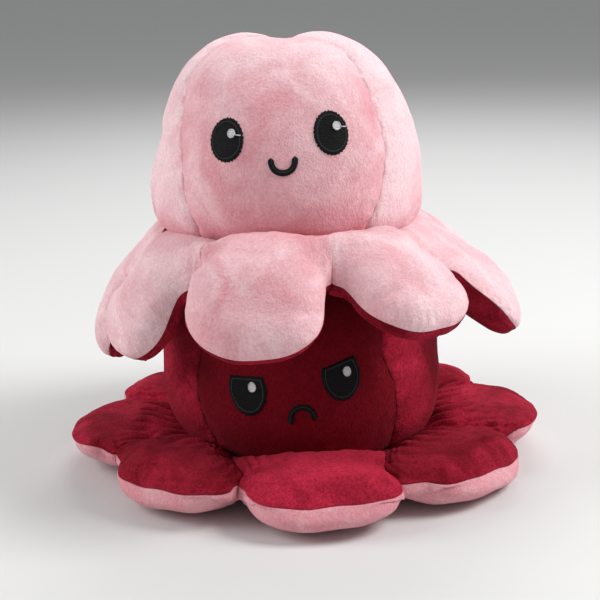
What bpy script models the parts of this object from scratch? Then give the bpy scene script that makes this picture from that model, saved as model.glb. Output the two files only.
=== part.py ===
"""Two reversible plush octopuses, one sitting on the other's head, as the pieces they are sewn from.

Metres, +Z up. The origin is on the floor under the middle of the lower toy, and both faces look along -Y.
Each toy has a head of four plush panels over a stuffed core. The head of its other side is tucked up
inside that core and lines a pocket that opens underneath. A flat skirt ring joins the head to eight
stuffed tentacles, each sewn from an upper and an under half in the toy's two colours.
The grumpy toy stands on the floor, crimson side out. The happy toy sits on its crown, pink side out.
"""

import math
from types import SimpleNamespace

import bmesh
import bpy
from mathutils import Euler, Matrix, Vector

# Clearances between pieces that touch on the real toy
SEAM_GAP = 0.0003
STUFFING_GAP = 0.0008


# Plush fabric and the head that it makes, the same pattern on both toys
SKIN = 0.0020
HEAD_BASE_RADIUS = 0.0490
HEAD_BASE_HEIGHT = 0.0105
HAPPY_HEAD_RADIUS = 0.0570
HAPPY_WIDE_HEIGHT = 0.0290
HAPPY_CROWN_HEIGHT = 0.0915
HAPPY_CROWN_POWER = 2.35
GRUMPY_HEAD_RADIUS = 0.0588
GRUMPY_WIDE_HEIGHT = 0.0380
GRUMPY_FREE_CROWN_HEIGHT = 0.0950
GRUMPY_CROWN_POWER = 2.6
PANEL_DIP = 0.0022
SEAM_PULL_POWER = 1.5
SEAM_FADE_POWER = 8
CROWN_DIP = 0.0042
CROWN_DIP_RADIUS = 0.0090
CROWN_SADDLE_RADIUS = 0.0360
CROWN_BACK_SHIFT = 0.0080

# The stack: the upper toy's skirt presses the lower head's crown flat
CROWN_PRESS = 0.0043
STACK_RISE = GRUMPY_FREE_CROWN_HEIGHT - CROWN_PRESS + SEAM_GAP
HAPPY_SHIFT_X = -0.0057

# The four panels: the seams' directions from the face, and the columns and rows that shape a panel
FACE_HALF_ANGLE = math.radians(50.0)
BACK_HALF_ANGLE = math.radians(50.0)
PANEL_COLUMNS = 6
TUCK_ROWS = 2
DOME_ROWS = 6

# The skirt ring that the head and the tentacles are sewn to
RING_INNER_RADIUS = 0.0400
RING_THICKNESS = 0.0100
RING_RIM_THICKNESS = 0.0125
RING_SEAT_SPARE = 0.0025
RING_SEAT_RADIUS = HEAD_BASE_RADIUS + RING_SEAT_SPARE
RING_RIM_WIDTH = 0.0042
RING_EDGE_RADIUS = RING_SEAT_RADIUS + RING_RIM_WIDTH
RING_EDGE_ROUND = 0.0020
HAPPY_SKIRT_DRAPE = 0.0040
RING_STEPS = 3

# One tentacle, from the fold at its root to its tip
TENTACLE_COUNT = 8
TENTACLE_REACH = 0.0390
ROOT_REACH = 0.0080
FOLD_RADIUS = RING_EDGE_RADIUS + SEAM_GAP + ROOT_REACH
TENTACLE_HALF_THICKNESS = 0.0100
FLOOR_CUT = 0.0005
TENTACLE_HALF_WIDTH = 0.0300
TENTACLE_SIDE_GAP = 0.0010
TENTACLE_LIFT = 45
ROOT_POWER = 4.0
TIP_POWER = 2.3
PAD_POWER = 2.8
PAD_RING_SHARES = (0.40, 0.72, 0.90, 0.98, 1.0)
PAD_SEGMENTS = 14
PAD_MIDDLE = (TENTACLE_REACH - ROOT_REACH) / 2.0
PAD_HALF_LENGTH = (TENTACLE_REACH + ROOT_REACH) / 2.0
GRUMPY_FOLD_HEIGHT = TENTACLE_HALF_THICKNESS
HAPPY_FOLD_HEIGHT = RING_RIM_THICKNESS / 2.0 - HAPPY_SKIRT_DRAPE

# Each tentacle's direction from the face, and how far it hangs from level, in degrees
GRUMPY_DIRECTIONS = (3, 49, 92, 137, 182, 227, 272, 319)
GRUMPY_DROOPS = (0, 0, 0, 0, 0, 0, 0, 0)
HAPPY_DIRECTIONS = (-11, 33, 76, 122, 168, 215, 262, 305)
HAPPY_DROOPS = (46, 26, 42, 47, 52, 55, 60, 60)

# The pocket, lined by the head of the other side
POCKET_MOUTH_RADIUS = 0.0220
POCKET_RADIUS = 0.0250
POCKET_DEPTH = 0.0480
POCKET_LIP_ROUND = 0.0050
LINING_SEGMENTS = 20
LIP_STEPS = 3
POCKET_DOME_STEPS = 3

# Embroidery
THREAD_THICKNESS = 0.0009
EMBROIDERY_GAP = 0.0005
LEVEL_STEP = math.radians(0.001)
EYE_WIDTH = 0.0142
EYE_HEIGHT = 0.0172
EYE_SEGMENTS = 14
GRUMPY_EYE_WIDTH = 0.0160
GRUMPY_EYE_HEIGHT = 0.0216
LID_SHARE = 0.50
LID_SLOPE = math.radians(7.0)
GLINT_WIDTH = 0.0034
GLINT_SEGMENTS = 8
MOUTH_WIDTH = 0.0098
MOUTH_HEIGHT = 0.0068
MOUTH_STROKE = 0.0022
MOUTH_STEPS = 8
GLINT_ACROSS = 0.0024
HAPPY_GLINT_UP = 0.0024
GRUMPY_GLINT_UP = 0.0009
HAPPY_SEAM_TURN = math.radians(-4.8)
HAPPY_FACE_TURN = math.radians(-1.9)
HAPPY_FACE_TILT = math.radians(2.4)
HAPPY_EYE_HALF_SPACING = 0.0208
HAPPY_EYE_LEVEL = 0.0536
HAPPY_MOUTH_LEVEL = 0.0475
GRUMPY_SEAM_TURN = math.radians(-1.5)
GRUMPY_FACE_TURN = math.radians(-4.3)
GRUMPY_FACE_TILT = math.radians(8.5)
GRUMPY_EYE_HALF_SPACING = 0.0190
GRUMPY_EYE_LEVEL = 0.0492
GRUMPY_MOUTH_LEVEL = 0.0330

# Finishes: name, colour and roughness
PINK_PLUSH = ("pink_plush", (0.86, 0.50, 0.56), 0.9)
CRIMSON_PLUSH = ("crimson_plush", (0.42, 0.010, 0.035), 0.9)
BLACK_THREAD = ("black_thread", (0.012, 0.012, 0.014), 0.6)
WHITE_THREAD = ("white_thread", (0.80, 0.80, 0.82), 0.6)
FIBREFILL = ("fibrefill", (0.90, 0.89, 0.86), 0.9)
CREASE_ANGLE = math.radians(40.0)

GRUMPY = SimpleNamespace(
    name="grumpy",
    middle=Vector((0.0, 0.0, 0.0)),
    outside=CRIMSON_PLUSH,
    inside=PINK_PLUSH,
    head_radius=GRUMPY_HEAD_RADIUS,
    wide_height=GRUMPY_WIDE_HEIGHT,
    crown_height=GRUMPY_FREE_CROWN_HEIGHT,
    crown_power=GRUMPY_CROWN_POWER,
    pressed_height=STACK_RISE - SEAM_GAP,
    fold_height=GRUMPY_FOLD_HEIGHT,
    directions=GRUMPY_DIRECTIONS,
    droops=GRUMPY_DROOPS,
    floor_cut=FLOOR_CUT,
    drape=0.0,
    seam_turn=GRUMPY_SEAM_TURN,
    face_turn=GRUMPY_FACE_TURN,
    face_tilt=GRUMPY_FACE_TILT,
    eye_width=GRUMPY_EYE_WIDTH,
    eye_height=GRUMPY_EYE_HEIGHT,
    glint_up=GRUMPY_GLINT_UP,
    eye_half_spacing=GRUMPY_EYE_HALF_SPACING,
    eye_level=GRUMPY_EYE_LEVEL,
    mouth_level=GRUMPY_MOUTH_LEVEL,
    smiles=False,
)
HAPPY = SimpleNamespace(
    name="happy",
    middle=Vector((HAPPY_SHIFT_X, 0.0, STACK_RISE)),
    outside=PINK_PLUSH,
    inside=CRIMSON_PLUSH,
    head_radius=HAPPY_HEAD_RADIUS,
    wide_height=HAPPY_WIDE_HEIGHT,
    crown_height=HAPPY_CROWN_HEIGHT,
    crown_power=HAPPY_CROWN_POWER,
    pressed_height=math.inf,
    fold_height=HAPPY_FOLD_HEIGHT,
    directions=HAPPY_DIRECTIONS,
    droops=HAPPY_DROOPS,
    floor_cut=0.0,
    drape=HAPPY_SKIRT_DRAPE,
    seam_turn=HAPPY_SEAM_TURN,
    face_turn=HAPPY_FACE_TURN,
    face_tilt=HAPPY_FACE_TILT,
    eye_width=EYE_WIDTH,
    eye_height=EYE_HEIGHT,
    glint_up=HAPPY_GLINT_UP,
    eye_half_spacing=HAPPY_EYE_HALF_SPACING,
    eye_level=HAPPY_EYE_LEVEL,
    mouth_level=HAPPY_MOUTH_LEVEL,
    smiles=True,
)


def clear_scene():
    for thing in list(bpy.data.objects):
        bpy.data.objects.remove(thing)


def fabric(name, colour, roughness):
    """One Principled material per finish, shared by the pieces cut from it."""
    material = bpy.data.materials.get(name)
    if material is None:
        material = bpy.data.materials.new(name)
        material.use_nodes = True
        shader = material.node_tree.nodes["Principled BSDF"]
        shader.inputs["Base Color"].default_value = (*colour, 1.0)
        shader.inputs["Roughness"].default_value = roughness
        shader.inputs["Metallic"].default_value = 0.0
    return material


def add_piece(name, mesh, finish, parent):
    """Puts a mesh in the scene as one named piece on its toy or its tentacle's fold."""
    piece = bpy.data.objects.new(name, mesh)
    bpy.context.scene.collection.objects.link(piece)
    piece.parent = parent
    piece.data.materials.clear()
    piece.data.materials.append(fabric(*finish))
    return piece


def closed_mesh(name, points, faces):
    """A mesh with its faces turned outwards and its round parts shaded smooth."""
    bm = bmesh.new()
    verts = [bm.verts.new(p) for p in points]
    for face in faces:
        bm.faces.new([verts[i] for i in face])
    bmesh.ops.recalc_face_normals(bm, faces=bm.faces)
    mesh = bpy.data.meshes.new(name)
    bm.to_mesh(mesh)
    bm.free()
    mesh.shade_smooth()
    mesh.set_sharp_from_angle(angle=CREASE_ANGLE)
    return mesh


def polar(radius, direction, height):
    """A point at a radius and a height, its direction turned from -Y towards +X."""
    return Vector((radius * math.sin(direction), -radius * math.cos(direction), height))


def ring_stack(name, rings):
    """Closes a stack of rings, each a loop of points or a single pole point, into one solid."""
    points, faces, starts = [], [], []
    for ring in rings:
        starts.append(len(points))
        points.extend(ring)
    for (a, ring_a), (b, ring_b) in zip(
        zip(starts, rings), zip(starts[1:], rings[1:])
    ):
        count = max(len(ring_a), len(ring_b))
        for i in range(count):
            j = (i + 1) % count
            if len(ring_a) == 1:
                faces.append((a, b + i, b + j))
            elif len(ring_b) == 1:
                faces.append((a + i, b, a + j))
            else:
                faces.append((a + i, b + i, b + j, a + j))
    return closed_mesh(name, points, faces)


# The head's surface


def plain_skin(toy, angle, direction):
    """A point and an outward normal on the head before its panels are drawn in at the seams.

    Below zero the angle runs down the tuck to the skirt, and above zero up the dome. On the dome
    each row's middle moves towards the crown point, where the four seams meet behind the axis.
    """
    if angle < 0.0:
        swell = toy.head_radius - HEAD_BASE_RADIUS
        fall = toy.wide_height - HEAD_BASE_HEIGHT
        flat = polar(HEAD_BASE_RADIUS + swell * math.cos(angle), direction, 0.0)
        height = toy.wide_height + fall * math.sin(angle)
        outward = polar(math.cos(angle) / swell, direction, math.sin(angle) / fall)
        return flat + Vector((0.0, 0.0, height)), outward.normalized()
    power = toy.crown_power
    rise = toy.crown_height - toy.wide_height
    share = max(math.cos(angle), 0.0) ** (2.0 / power)
    crown = Vector((0.0, CROWN_BACK_SHIFT, 0.0))
    flat = crown * (1.0 - share) + polar(toy.head_radius * share, direction, 0.0)
    out_share = min(flat.length / toy.head_radius, 1.0)
    up_share = (1.0 - out_share**power) ** (1.0 / power)
    outward = flat.normalized() * out_share ** (power - 1.0) / toy.head_radius
    outward.z = up_share ** (power - 1.0) / rise
    from_crown = flat - crown
    height = toy.wide_height + rise * up_share - crown_drop(from_crown)
    flat.z = min(height, toy.pressed_height)
    return flat, outward.normalized()


def crown_drop(from_crown):
    """How far the crown sinks where the four seams meet, and along the line from face to back."""
    reach = from_crown.length
    pit = math.exp(-((reach / CROWN_DIP_RADIUS) ** 2))
    fade = max(0.0, 1.0 - (reach / CROWN_SADDLE_RADIUS) ** 2)
    along = (from_crown.y / reach) ** 2 if reach > 0.0 else 1.0
    return CROWN_DIP * fade * (pit + (1.0 - pit) * along)


def sunk_point(toy, angle, panel, across, depth):
    """The point that lies depth under the plush. across is 0 and 1 at the panel's two seams."""
    direction = panel[0] + (panel[1] - panel[0]) * across
    point, outward = plain_skin(toy, angle, direction)
    drawn_in = PANEL_DIP * (1.0 - math.sin(math.pi * across)) ** SEAM_PULL_POWER
    fade = 1.0 - max(math.sin(angle), 0.0) ** SEAM_FADE_POWER
    sunk = point - outward * (depth + drawn_in * fade)
    if point.z >= toy.pressed_height:
        sunk.z = min(sunk.z, toy.pressed_height - depth)
    return sunk


def profile_angles():
    """The rows of the head, from its base to its crown."""
    tuck = [-math.pi / 2 * (1.0 - i / TUCK_ROWS) for i in range(TUCK_ROWS)]
    dome = [math.pi / 2 * i / DOME_ROWS for i in range(DOME_ROWS + 1)]
    return tuck + dome


def panels(toy):
    """Each head panel's name and its two seams' directions, turned with the face."""
    seams = (
        -FACE_HALF_ANGLE,
        FACE_HALF_ANGLE,
        math.pi - BACK_HALF_ANGLE,
        math.pi + BACK_HALF_ANGLE,
        2.0 * math.pi - FACE_HALF_ANGLE,
    )
    names = ("face_panel", "left_side_panel", "back_panel", "right_side_panel")
    turned = [seam + toy.seam_turn for seam in seams]
    return list(zip(names, zip(turned, turned[1:])))


def panel_mesh(toy, name, panel):
    """One curved plush panel, a skin thick, that narrows to a point at the crown."""
    half_span = (panel[1] - panel[0]) / 2.0
    middle = (panel[0] + panel[1]) / 2.0
    points, rows = [], []
    for depth in (0.0, SKIN):
        for angle in profile_angles()[:-1]:
            row = []
            first = sunk_point(toy, angle, panel, 0.0, depth)
            last = sunk_point(toy, angle, panel, 1.0, depth)
            chord = (last - first).normalized()
            for column in range(PANEL_COLUMNS + 1):
                across = column / PANEL_COLUMNS
                point = sunk_point(toy, angle, panel, across, depth)
                spare = SEAM_GAP / 2.0 / math.cos(half_span)
                row.append(len(points))
                points.append(point + chord * spare * (1.0 - 2.0 * across))
            rows.append(row)
        crown = sunk_point(toy, math.pi / 2, panel, 0.5, depth)
        rows.append([len(points)])
        points.append(crown + polar(SEAM_GAP / 2.0 / math.sin(half_span), middle, 0.0))
    count = len(rows) // 2
    outer, inner = rows[:count], rows[count:]
    faces = []
    for skin in (outer, inner):
        for low, high in zip(skin, skin[1:]):
            for i in range(PANEL_COLUMNS):
                if len(high) == 1:
                    faces.append((low[i], low[i + 1], high[0]))
                else:
                    faces.append((low[i], low[i + 1], high[i + 1], high[i]))
    for end in (0, -1):
        for level in range(count - 1):
            faces.append(
                (outer[level][end], outer[level + 1][end], inner[level + 1][end], inner[level][end])
            )
    for i in range(PANEL_COLUMNS):
        faces.append((outer[0][i], outer[0][i + 1], inner[0][i + 1], inner[0][i]))
    return closed_mesh(name, points, faces)


# The pocket and the stuffing round it


def ring_hole_radius():
    """The largest circle that fits the skirt ring's many-sided hole."""
    return RING_INNER_RADIUS * math.cos(math.pi / (TENTACLE_COUNT * RING_STEPS))


def lining_profile(grow):
    """Half outline of the pocket's wall as radius and height, from its crown down to the lip.

    grow is how far the outline stands outside the pocket's own hollow.
    """
    outline = []
    dome_height = POCKET_DEPTH - POCKET_RADIUS
    for step in range(1, POCKET_DOME_STEPS + 1):
        angle = math.pi / 2 * (1.0 - step / POCKET_DOME_STEPS)
        reach = POCKET_RADIUS + grow
        outline.append((reach * math.cos(angle), dome_height + reach * math.sin(angle)))
    for step in range(LIP_STEPS + 1):
        angle = math.pi / 2 * step / LIP_STEPS
        reach = POCKET_LIP_ROUND - grow
        outline.append(
            (
                POCKET_MOUTH_RADIUS + POCKET_LIP_ROUND - reach * math.cos(angle),
                POCKET_LIP_ROUND - reach * math.sin(angle),
            )
        )
    return outline


def revolve(outline, directions):
    """Rings of points round the toy's axis, one for each radius and height."""
    return [[polar(radius, d, height) for d in directions] for radius, height in outline]


def lining_mesh(name):
    """The tucked-in head: a cup that opens underneath, with a flange out to the skirt ring."""
    turns = [2.0 * math.pi * i / LINING_SEGMENTS for i in range(LINING_SEGMENTS)]
    inner_wall = lining_profile(0.0)
    outer_wall = lining_profile(SKIN)
    flange_edge = ring_hole_radius() - SEAM_GAP
    outer = [(flange_edge, SKIN)] + outer_wall[::-1]
    inner = inner_wall + [(flange_edge, 0.0)]
    top = [Vector((0.0, 0.0, POCKET_DEPTH + SKIN))]
    ceiling = [Vector((0.0, 0.0, POCKET_DEPTH))]
    rings = [top] + revolve(outer[::-1], turns) + revolve(inner[::-1], turns)
    return ring_stack(name, rings + [ceiling])


def stuffing_mesh(toy, name):
    """Fibrefill that fills the head between its four panels, the pocket's lining and the ring."""
    columns = []
    for _, panel in panels(toy):
        columns += [(panel, column / PANEL_COLUMNS) for column in range(PANEL_COLUMNS)]
    depth = SKIN + STUFFING_GAP
    rings = []
    for angle in profile_angles()[:-1]:
        rings.append([sunk_point(toy, angle, panel, across, depth) for panel, across in columns])
    rings.append([sunk_point(toy, math.pi / 2, columns[0][0], 0.0, depth)])
    directions = [panel[0] + (panel[1] - panel[0]) * across for panel, across in columns]
    rest = RING_THICKNESS + STUFFING_GAP
    above_flange = SKIN + STUFFING_GAP
    plug_radius = ring_hole_radius() - STUFFING_GAP
    hollow = lining_profile(SKIN + STUFFING_GAP)
    bottom = [(plug_radius, rest), (plug_radius, above_flange)]
    under = revolve(bottom, directions) + revolve(hollow[::-1], directions)
    ceiling = [Vector((0.0, 0.0, POCKET_DEPTH + SKIN + STUFFING_GAP))]
    return ring_stack(name, rings[::-1] + under + [ceiling])


# The skirt


def wedge(toy, number):
    """A tentacle's direction, and its half angles to the middles of the two gaps beside it."""
    turns = [math.radians(d) for d in toy.directions]
    here = turns[number]
    before = (here - turns[number - 1]) % (2.0 * math.pi)
    after = (turns[(number + 1) % TENTACLE_COUNT] - here) % (2.0 * math.pi)
    return here, before / 2.0, after / 2.0


def ring_mesh(toy, name, upper):
    """Half of the skirt ring, round inside and eight-sided outside, where the tentacles fold.

    The head sits inside a raised rim. On the happy toy the rim hangs lower, draped over the head below.
    """
    edge = RING_EDGE_RADIUS
    inset = edge - RING_EDGE_ROUND
    drape = toy.drape
    rim = RING_RIM_THICKNESS - drape
    seam = (RING_THICKNESS - drape) / 2.0
    if upper:
        seam += SEAM_GAP / 2.0
        outline = [
            (None, seam),
            (edge, seam),
            (edge, rim - RING_EDGE_ROUND),
            (inset, rim),
            (RING_SEAT_RADIUS, RING_THICKNESS),
            (None, RING_THICKNESS),
        ]
    else:
        seam -= SEAM_GAP / 2.0
        outline = [
            (None, seam),
            (None, 0.0),
            (inset, -drape),
            (edge, RING_EDGE_ROUND - drape),
            (edge, seam),
        ]
    rings = []
    for radius, height in outline:
        ring = []
        for number in range(TENTACLE_COUNT):
            here, before, after = wedge(toy, number)
            for step in range(RING_STEPS):
                share = 2.0 * step / RING_STEPS - 1.0
                turn = share * (before if share < 0.0 else after)
                reach = RING_INNER_RADIUS if radius is None else radius / math.cos(turn)
                ring.append(polar(reach, here + turn, height))
        rings.append(ring)
    return closed_loop_stack(name, rings)


def closed_loop_stack(name, rings):
    """Like ring_stack, for a solid with a hole through it: the last ring joins the first."""
    points = [p for ring in rings for p in ring]
    count = len(rings[0])
    faces = []
    for a in range(len(rings)):
        b = (a + 1) % len(rings)
        for i in range(count):
            j = (i + 1) % count
            faces.append((a * count + i, b * count + i, b * count + j, a * count + j))
    return closed_mesh(name, points, faces)


def tentacle_edge(toy, number, x, side):
    """How far a tentacle's seam stands from its middle line at x, on the side -1 or 1.

    Both sides keep inside the tentacle's own wedge of the skirt, from its rest to its full lift.
    """
    _, before, after = wedge(toy, number)
    droop = toy.droops[number]
    steepest = math.radians(max(droop, TENTACLE_LIFT))
    power = TIP_POWER if x > PAD_MIDDLE else ROOT_POWER
    out_share = min(abs(x - PAD_MIDDLE) / PAD_HALF_LENGTH, 1.0)
    width = TENTACLE_HALF_WIDTH * (1.0 - out_share**power) ** (1.0 / power)
    radius = FOLD_RADIUS + min(x, 0.0) + max(x, 0.0) * math.cos(steepest)
    room = radius * math.tan(after if side > 0.0 else before) - TENTACLE_SIDE_GAP
    return min(width, room)


def tentacle_swell(toy, number, x, y, crest):
    """Height of the stuffed pillow over its seam: a round knuckle at the fold, then a fuller pad."""
    if x < 0.0:
        full = math.sqrt(max(ROOT_REACH**2 - x**2, 0.0))
    elif x < PAD_MIDDLE:
        full = ROOT_REACH + (crest - ROOT_REACH) * x / PAD_MIDDLE
    else:
        out_share = min((x - PAD_MIDDLE) / PAD_HALF_LENGTH, 1.0)
        full = crest * math.sqrt(1.0 - out_share**PAD_POWER)
    edge = tentacle_edge(toy, number, x, math.copysign(1.0, y))
    across_share = min(abs(y) / edge, 1.0) if edge > 0.0 else 0.0
    return full * math.sqrt(1.0 - across_share**PAD_POWER)


def tentacle_half_mesh(toy, name, number, upward):
    """A stuffed half of a tentacle: a pillow that swells from its seam, flat where the floor is.

    x runs out from the fold, y across and z up.
    """
    sign = 1.0 if upward else -1.0
    seam = SEAM_GAP / 2.0
    crest = TENTACLE_HALF_THICKNESS + (0.0 if upward else toy.floor_cut)
    outline = []
    for i in range(PAD_SEGMENTS):
        angle = 2.0 * math.pi * i / PAD_SEGMENTS
        power = 2.0 / (TIP_POWER if math.cos(angle) > 0.0 else ROOT_POWER)
        out = math.copysign(abs(math.cos(angle)) ** power, math.cos(angle))
        x = PAD_MIDDLE + PAD_HALF_LENGTH * out
        side = math.copysign(1.0, math.sin(angle))
        outline.append(Vector((x, side * tentacle_edge(toy, number, x, side), 0.0)))
    middle = Vector((PAD_MIDDLE, 0.0, 0.0))
    rings = [[middle + Vector((0.0, 0.0, sign * TENTACLE_HALF_THICKNESS))]]
    for share in PAD_RING_SHARES:
        ring = []
        for edge in outline:
            point = middle.lerp(edge, share)
            swell = 0.0 if share == 1.0 else tentacle_swell(toy, number, point.x, point.y, crest)
            point.z = sign * max(seam, min(swell, TENTACLE_HALF_THICKNESS))
            ring.append(point)
        rings.append(ring)
    rings.append([middle + Vector((0.0, 0.0, sign * seam))])
    return ring_stack(name, rings)


def fold_empty(toy, number, parent):
    """The line that a tentacle bends about: local x points out along it, local y is the fold."""
    here, _, _ = wedge(toy, number)
    droop = math.radians(toy.droops[number])
    fold = bpy.data.objects.new(f"{toy.name}_fold_{number + 1}", None)
    bpy.context.scene.collection.objects.link(fold)
    fold.parent = parent
    fold.location = polar(FOLD_RADIUS, here, toy.fold_height)
    fold.rotation_euler = Euler((0.0, droop, here - math.pi / 2.0), "XYZ")
    return fold


# Embroidery


def eye_outline(toy):
    """Points round an eye, as across and up: an oval, cut by a slanting lid on the grumpy toy."""
    turns = [2.0 * math.pi * i / EYE_SEGMENTS for i in range(EYE_SEGMENTS)]
    oval = [(toy.eye_width / 2 * math.cos(t), toy.eye_height / 2 * math.sin(t)) for t in turns]
    if toy.smiles:
        return oval
    lid = toy.eye_height / 2.0 * LID_SHARE
    return [(x, min(y, lid + x * math.tan(LID_SLOPE))) for x, y in oval]


def mouth_line(toy):
    """The mouth's middle line as across and up: a half oval, open upwards when it smiles."""
    sign = -1.0 if toy.smiles else 1.0
    turns = [math.pi * i / MOUTH_STEPS for i in range(MOUTH_STEPS + 1)]
    return [Vector((MOUTH_WIDTH / 2 * math.cos(t), sign * MOUTH_HEIGHT * math.sin(t))) for t in turns]


def on_face(toy, across, up, lift):
    """A point on the face panel, lifted off it. across and up are from the middle of the eyes."""
    turned = Vector((across, up))
    turned.rotate(Matrix.Rotation(toy.face_tilt, 2))
    low, high = -math.pi / 2, math.pi / 2
    direction = toy.face_turn + turned.x / toy.head_radius
    while high - low > LEVEL_STEP:
        angle = (low + high) / 2.0
        if plain_skin(toy, angle, direction)[0].z < toy.eye_level + turned.y:
            low = angle
        else:
            high = angle
    panel = (toy.seam_turn - FACE_HALF_ANGLE, toy.seam_turn + FACE_HALF_ANGLE)
    share = (direction - panel[0]) / (panel[1] - panel[0])
    return sunk_point(toy, low, panel, share, -EMBROIDERY_GAP - lift)


def thread_patch(toy, name, outline, gap):
    """A satin-stitched patch over an outline, with a ring between its middle and its edge."""
    middle = Vector((0.0, 0.0))
    for point in outline:
        middle += Vector(point) / len(outline)
    halfway = [middle.lerp(Vector(p), 0.5) for p in outline]
    top = gap + THREAD_THICKNESS
    over = [[on_face(toy, *middle, top)]]
    over += [[on_face(toy, *p, top) for p in loop] for loop in (halfway, outline)]
    under = [[on_face(toy, *p, gap) for p in loop] for loop in (outline, halfway)]
    under.append([on_face(toy, *middle, gap)])
    return ring_stack(name, over + under)


def mouth_mesh(toy, name):
    """A satin-stitch line with a rectangular section that follows the fabric."""
    line = mouth_line(toy)
    below_eyes = Vector((0.0, toy.mouth_level - toy.eye_level))
    points, faces = [], []
    for i, point in enumerate(line):
        along = (line[min(i + 1, len(line) - 1)] - line[max(i - 1, 0)]).normalized()
        side = Vector((-along.y, along.x)) * MOUTH_STROKE / 2.0
        for edge, lift in ((side, 0.0), (side, 1.0), (-side, 1.0), (-side, 0.0)):
            across, up = point + edge + below_eyes
            points.append(on_face(toy, across, up, lift * THREAD_THICKNESS))
    for i in range(len(line) - 1):
        a, b = 4 * i, 4 * (i + 1)
        for k in range(4):
            n = (k + 1) % 4
            faces.append((a + k, a + n, b + n, b + k))
    last = 4 * (len(line) - 1)
    faces.append((0, 1, 2, 3))
    faces.append((last, last + 1, last + 2, last + 3))
    return closed_mesh(name, points, faces)


# Assembly


def build_head(toy, parent):
    for name, panel in panels(toy):
        full_name = f"{toy.name}_{name}"
        add_piece(full_name, panel_mesh(toy, full_name, panel), toy.outside, parent)
    name = f"{toy.name}_head_stuffing"
    add_piece(name, stuffing_mesh(toy, name), FIBREFILL, parent)
    name = f"{toy.name}_pocket_lining"
    add_piece(name, lining_mesh(name), toy.inside, parent)


def build_skirt(toy, parent):
    for half, finish in (("top", toy.outside), ("underside", toy.inside)):
        name = f"{toy.name}_skirt_{half}"
        add_piece(name, ring_mesh(toy, name, half == "top"), finish, parent)


def build_tentacles(toy, parent):
    for number in range(TENTACLE_COUNT):
        fold = fold_empty(toy, number, parent)
        for half, finish in (("top", toy.outside), ("underside", toy.inside)):
            name = f"{toy.name}_tentacle_{number + 1}_{half}"
            mesh = tentacle_half_mesh(toy, name, number, half == "top")
            add_piece(name, mesh, finish, fold)


def build_face(toy, parent):
    for side_name, side in (("right", -1.0), ("left", 1.0)):
        centre = side * toy.eye_half_spacing
        outline = [(centre + side * x, y) for x, y in eye_outline(toy)]
        name = f"{toy.name}_{side_name}_eye"
        add_piece(name, thread_patch(toy, name, outline, 0.0), BLACK_THREAD, parent)
        x, y = centre + GLINT_ACROSS, toy.glint_up
        turns = [2.0 * math.pi * i / GLINT_SEGMENTS for i in range(GLINT_SEGMENTS)]
        reach = GLINT_WIDTH / 2.0
        spot = [(x + reach * math.cos(t), y + reach * math.sin(t)) for t in turns]
        name = f"{toy.name}_{side_name}_eye_glint"
        gap = THREAD_THICKNESS + SEAM_GAP
        add_piece(name, thread_patch(toy, name, spot, gap), WHITE_THREAD, parent)
    name = f"{toy.name}_mouth"
    add_piece(name, mouth_mesh(toy, name), BLACK_THREAD, parent)


def build_toy(toy):
    root = bpy.data.objects.new(f"{toy.name}_octopus", None)
    bpy.context.scene.collection.objects.link(root)
    root.location = toy.middle
    build_head(toy, root)
    build_skirt(toy, root)
    build_tentacles(toy, root)
    build_face(toy, root)


clear_scene()
build_toy(GRUMPY)
build_toy(HAPPY)
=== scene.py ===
# %% [markdown]
# # A pair of reversible plush octopuses
# One toy sits on the head of another. Each is sewn from short-pile plush: a head of four panels, and a
# skirt of eight stuffed tentacles that is pink on one side and crimson on the other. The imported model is
# loaded first. It is a rigid guide: every soft piece made below takes the place of one of its plain solids.

# %% Load the frame
import math
from types import SimpleNamespace

import bpy
import numpy as np
from mathutils import Euler, Matrix, Vector, noise
from mathutils.bvhtree import BVHTree


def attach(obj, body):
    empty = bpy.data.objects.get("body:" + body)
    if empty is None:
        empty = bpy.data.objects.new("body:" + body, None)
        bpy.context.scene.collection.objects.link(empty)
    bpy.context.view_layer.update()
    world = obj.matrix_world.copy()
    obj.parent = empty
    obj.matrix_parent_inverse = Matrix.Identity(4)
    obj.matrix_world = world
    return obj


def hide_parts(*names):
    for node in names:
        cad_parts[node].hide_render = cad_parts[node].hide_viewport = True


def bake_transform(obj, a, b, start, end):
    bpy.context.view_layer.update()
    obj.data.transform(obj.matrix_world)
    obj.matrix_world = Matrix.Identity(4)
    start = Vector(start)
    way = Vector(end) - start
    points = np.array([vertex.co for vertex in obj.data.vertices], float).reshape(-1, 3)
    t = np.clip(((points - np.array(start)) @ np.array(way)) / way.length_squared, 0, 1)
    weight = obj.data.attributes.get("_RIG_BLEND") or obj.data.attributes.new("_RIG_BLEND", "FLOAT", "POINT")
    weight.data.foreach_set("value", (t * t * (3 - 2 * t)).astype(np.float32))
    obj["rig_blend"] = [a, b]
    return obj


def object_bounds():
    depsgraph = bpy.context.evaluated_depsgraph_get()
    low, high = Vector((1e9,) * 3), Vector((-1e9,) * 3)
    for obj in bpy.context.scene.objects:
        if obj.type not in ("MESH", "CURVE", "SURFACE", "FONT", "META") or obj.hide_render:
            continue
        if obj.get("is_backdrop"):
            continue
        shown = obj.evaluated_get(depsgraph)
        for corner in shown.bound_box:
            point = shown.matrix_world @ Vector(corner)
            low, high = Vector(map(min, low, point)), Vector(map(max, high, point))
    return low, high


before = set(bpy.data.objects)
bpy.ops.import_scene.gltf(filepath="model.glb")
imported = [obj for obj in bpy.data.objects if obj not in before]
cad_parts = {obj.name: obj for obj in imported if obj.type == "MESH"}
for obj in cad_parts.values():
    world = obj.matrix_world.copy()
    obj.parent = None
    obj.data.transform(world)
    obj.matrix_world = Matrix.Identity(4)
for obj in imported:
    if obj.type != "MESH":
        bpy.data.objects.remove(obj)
cad_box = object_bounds()

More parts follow.
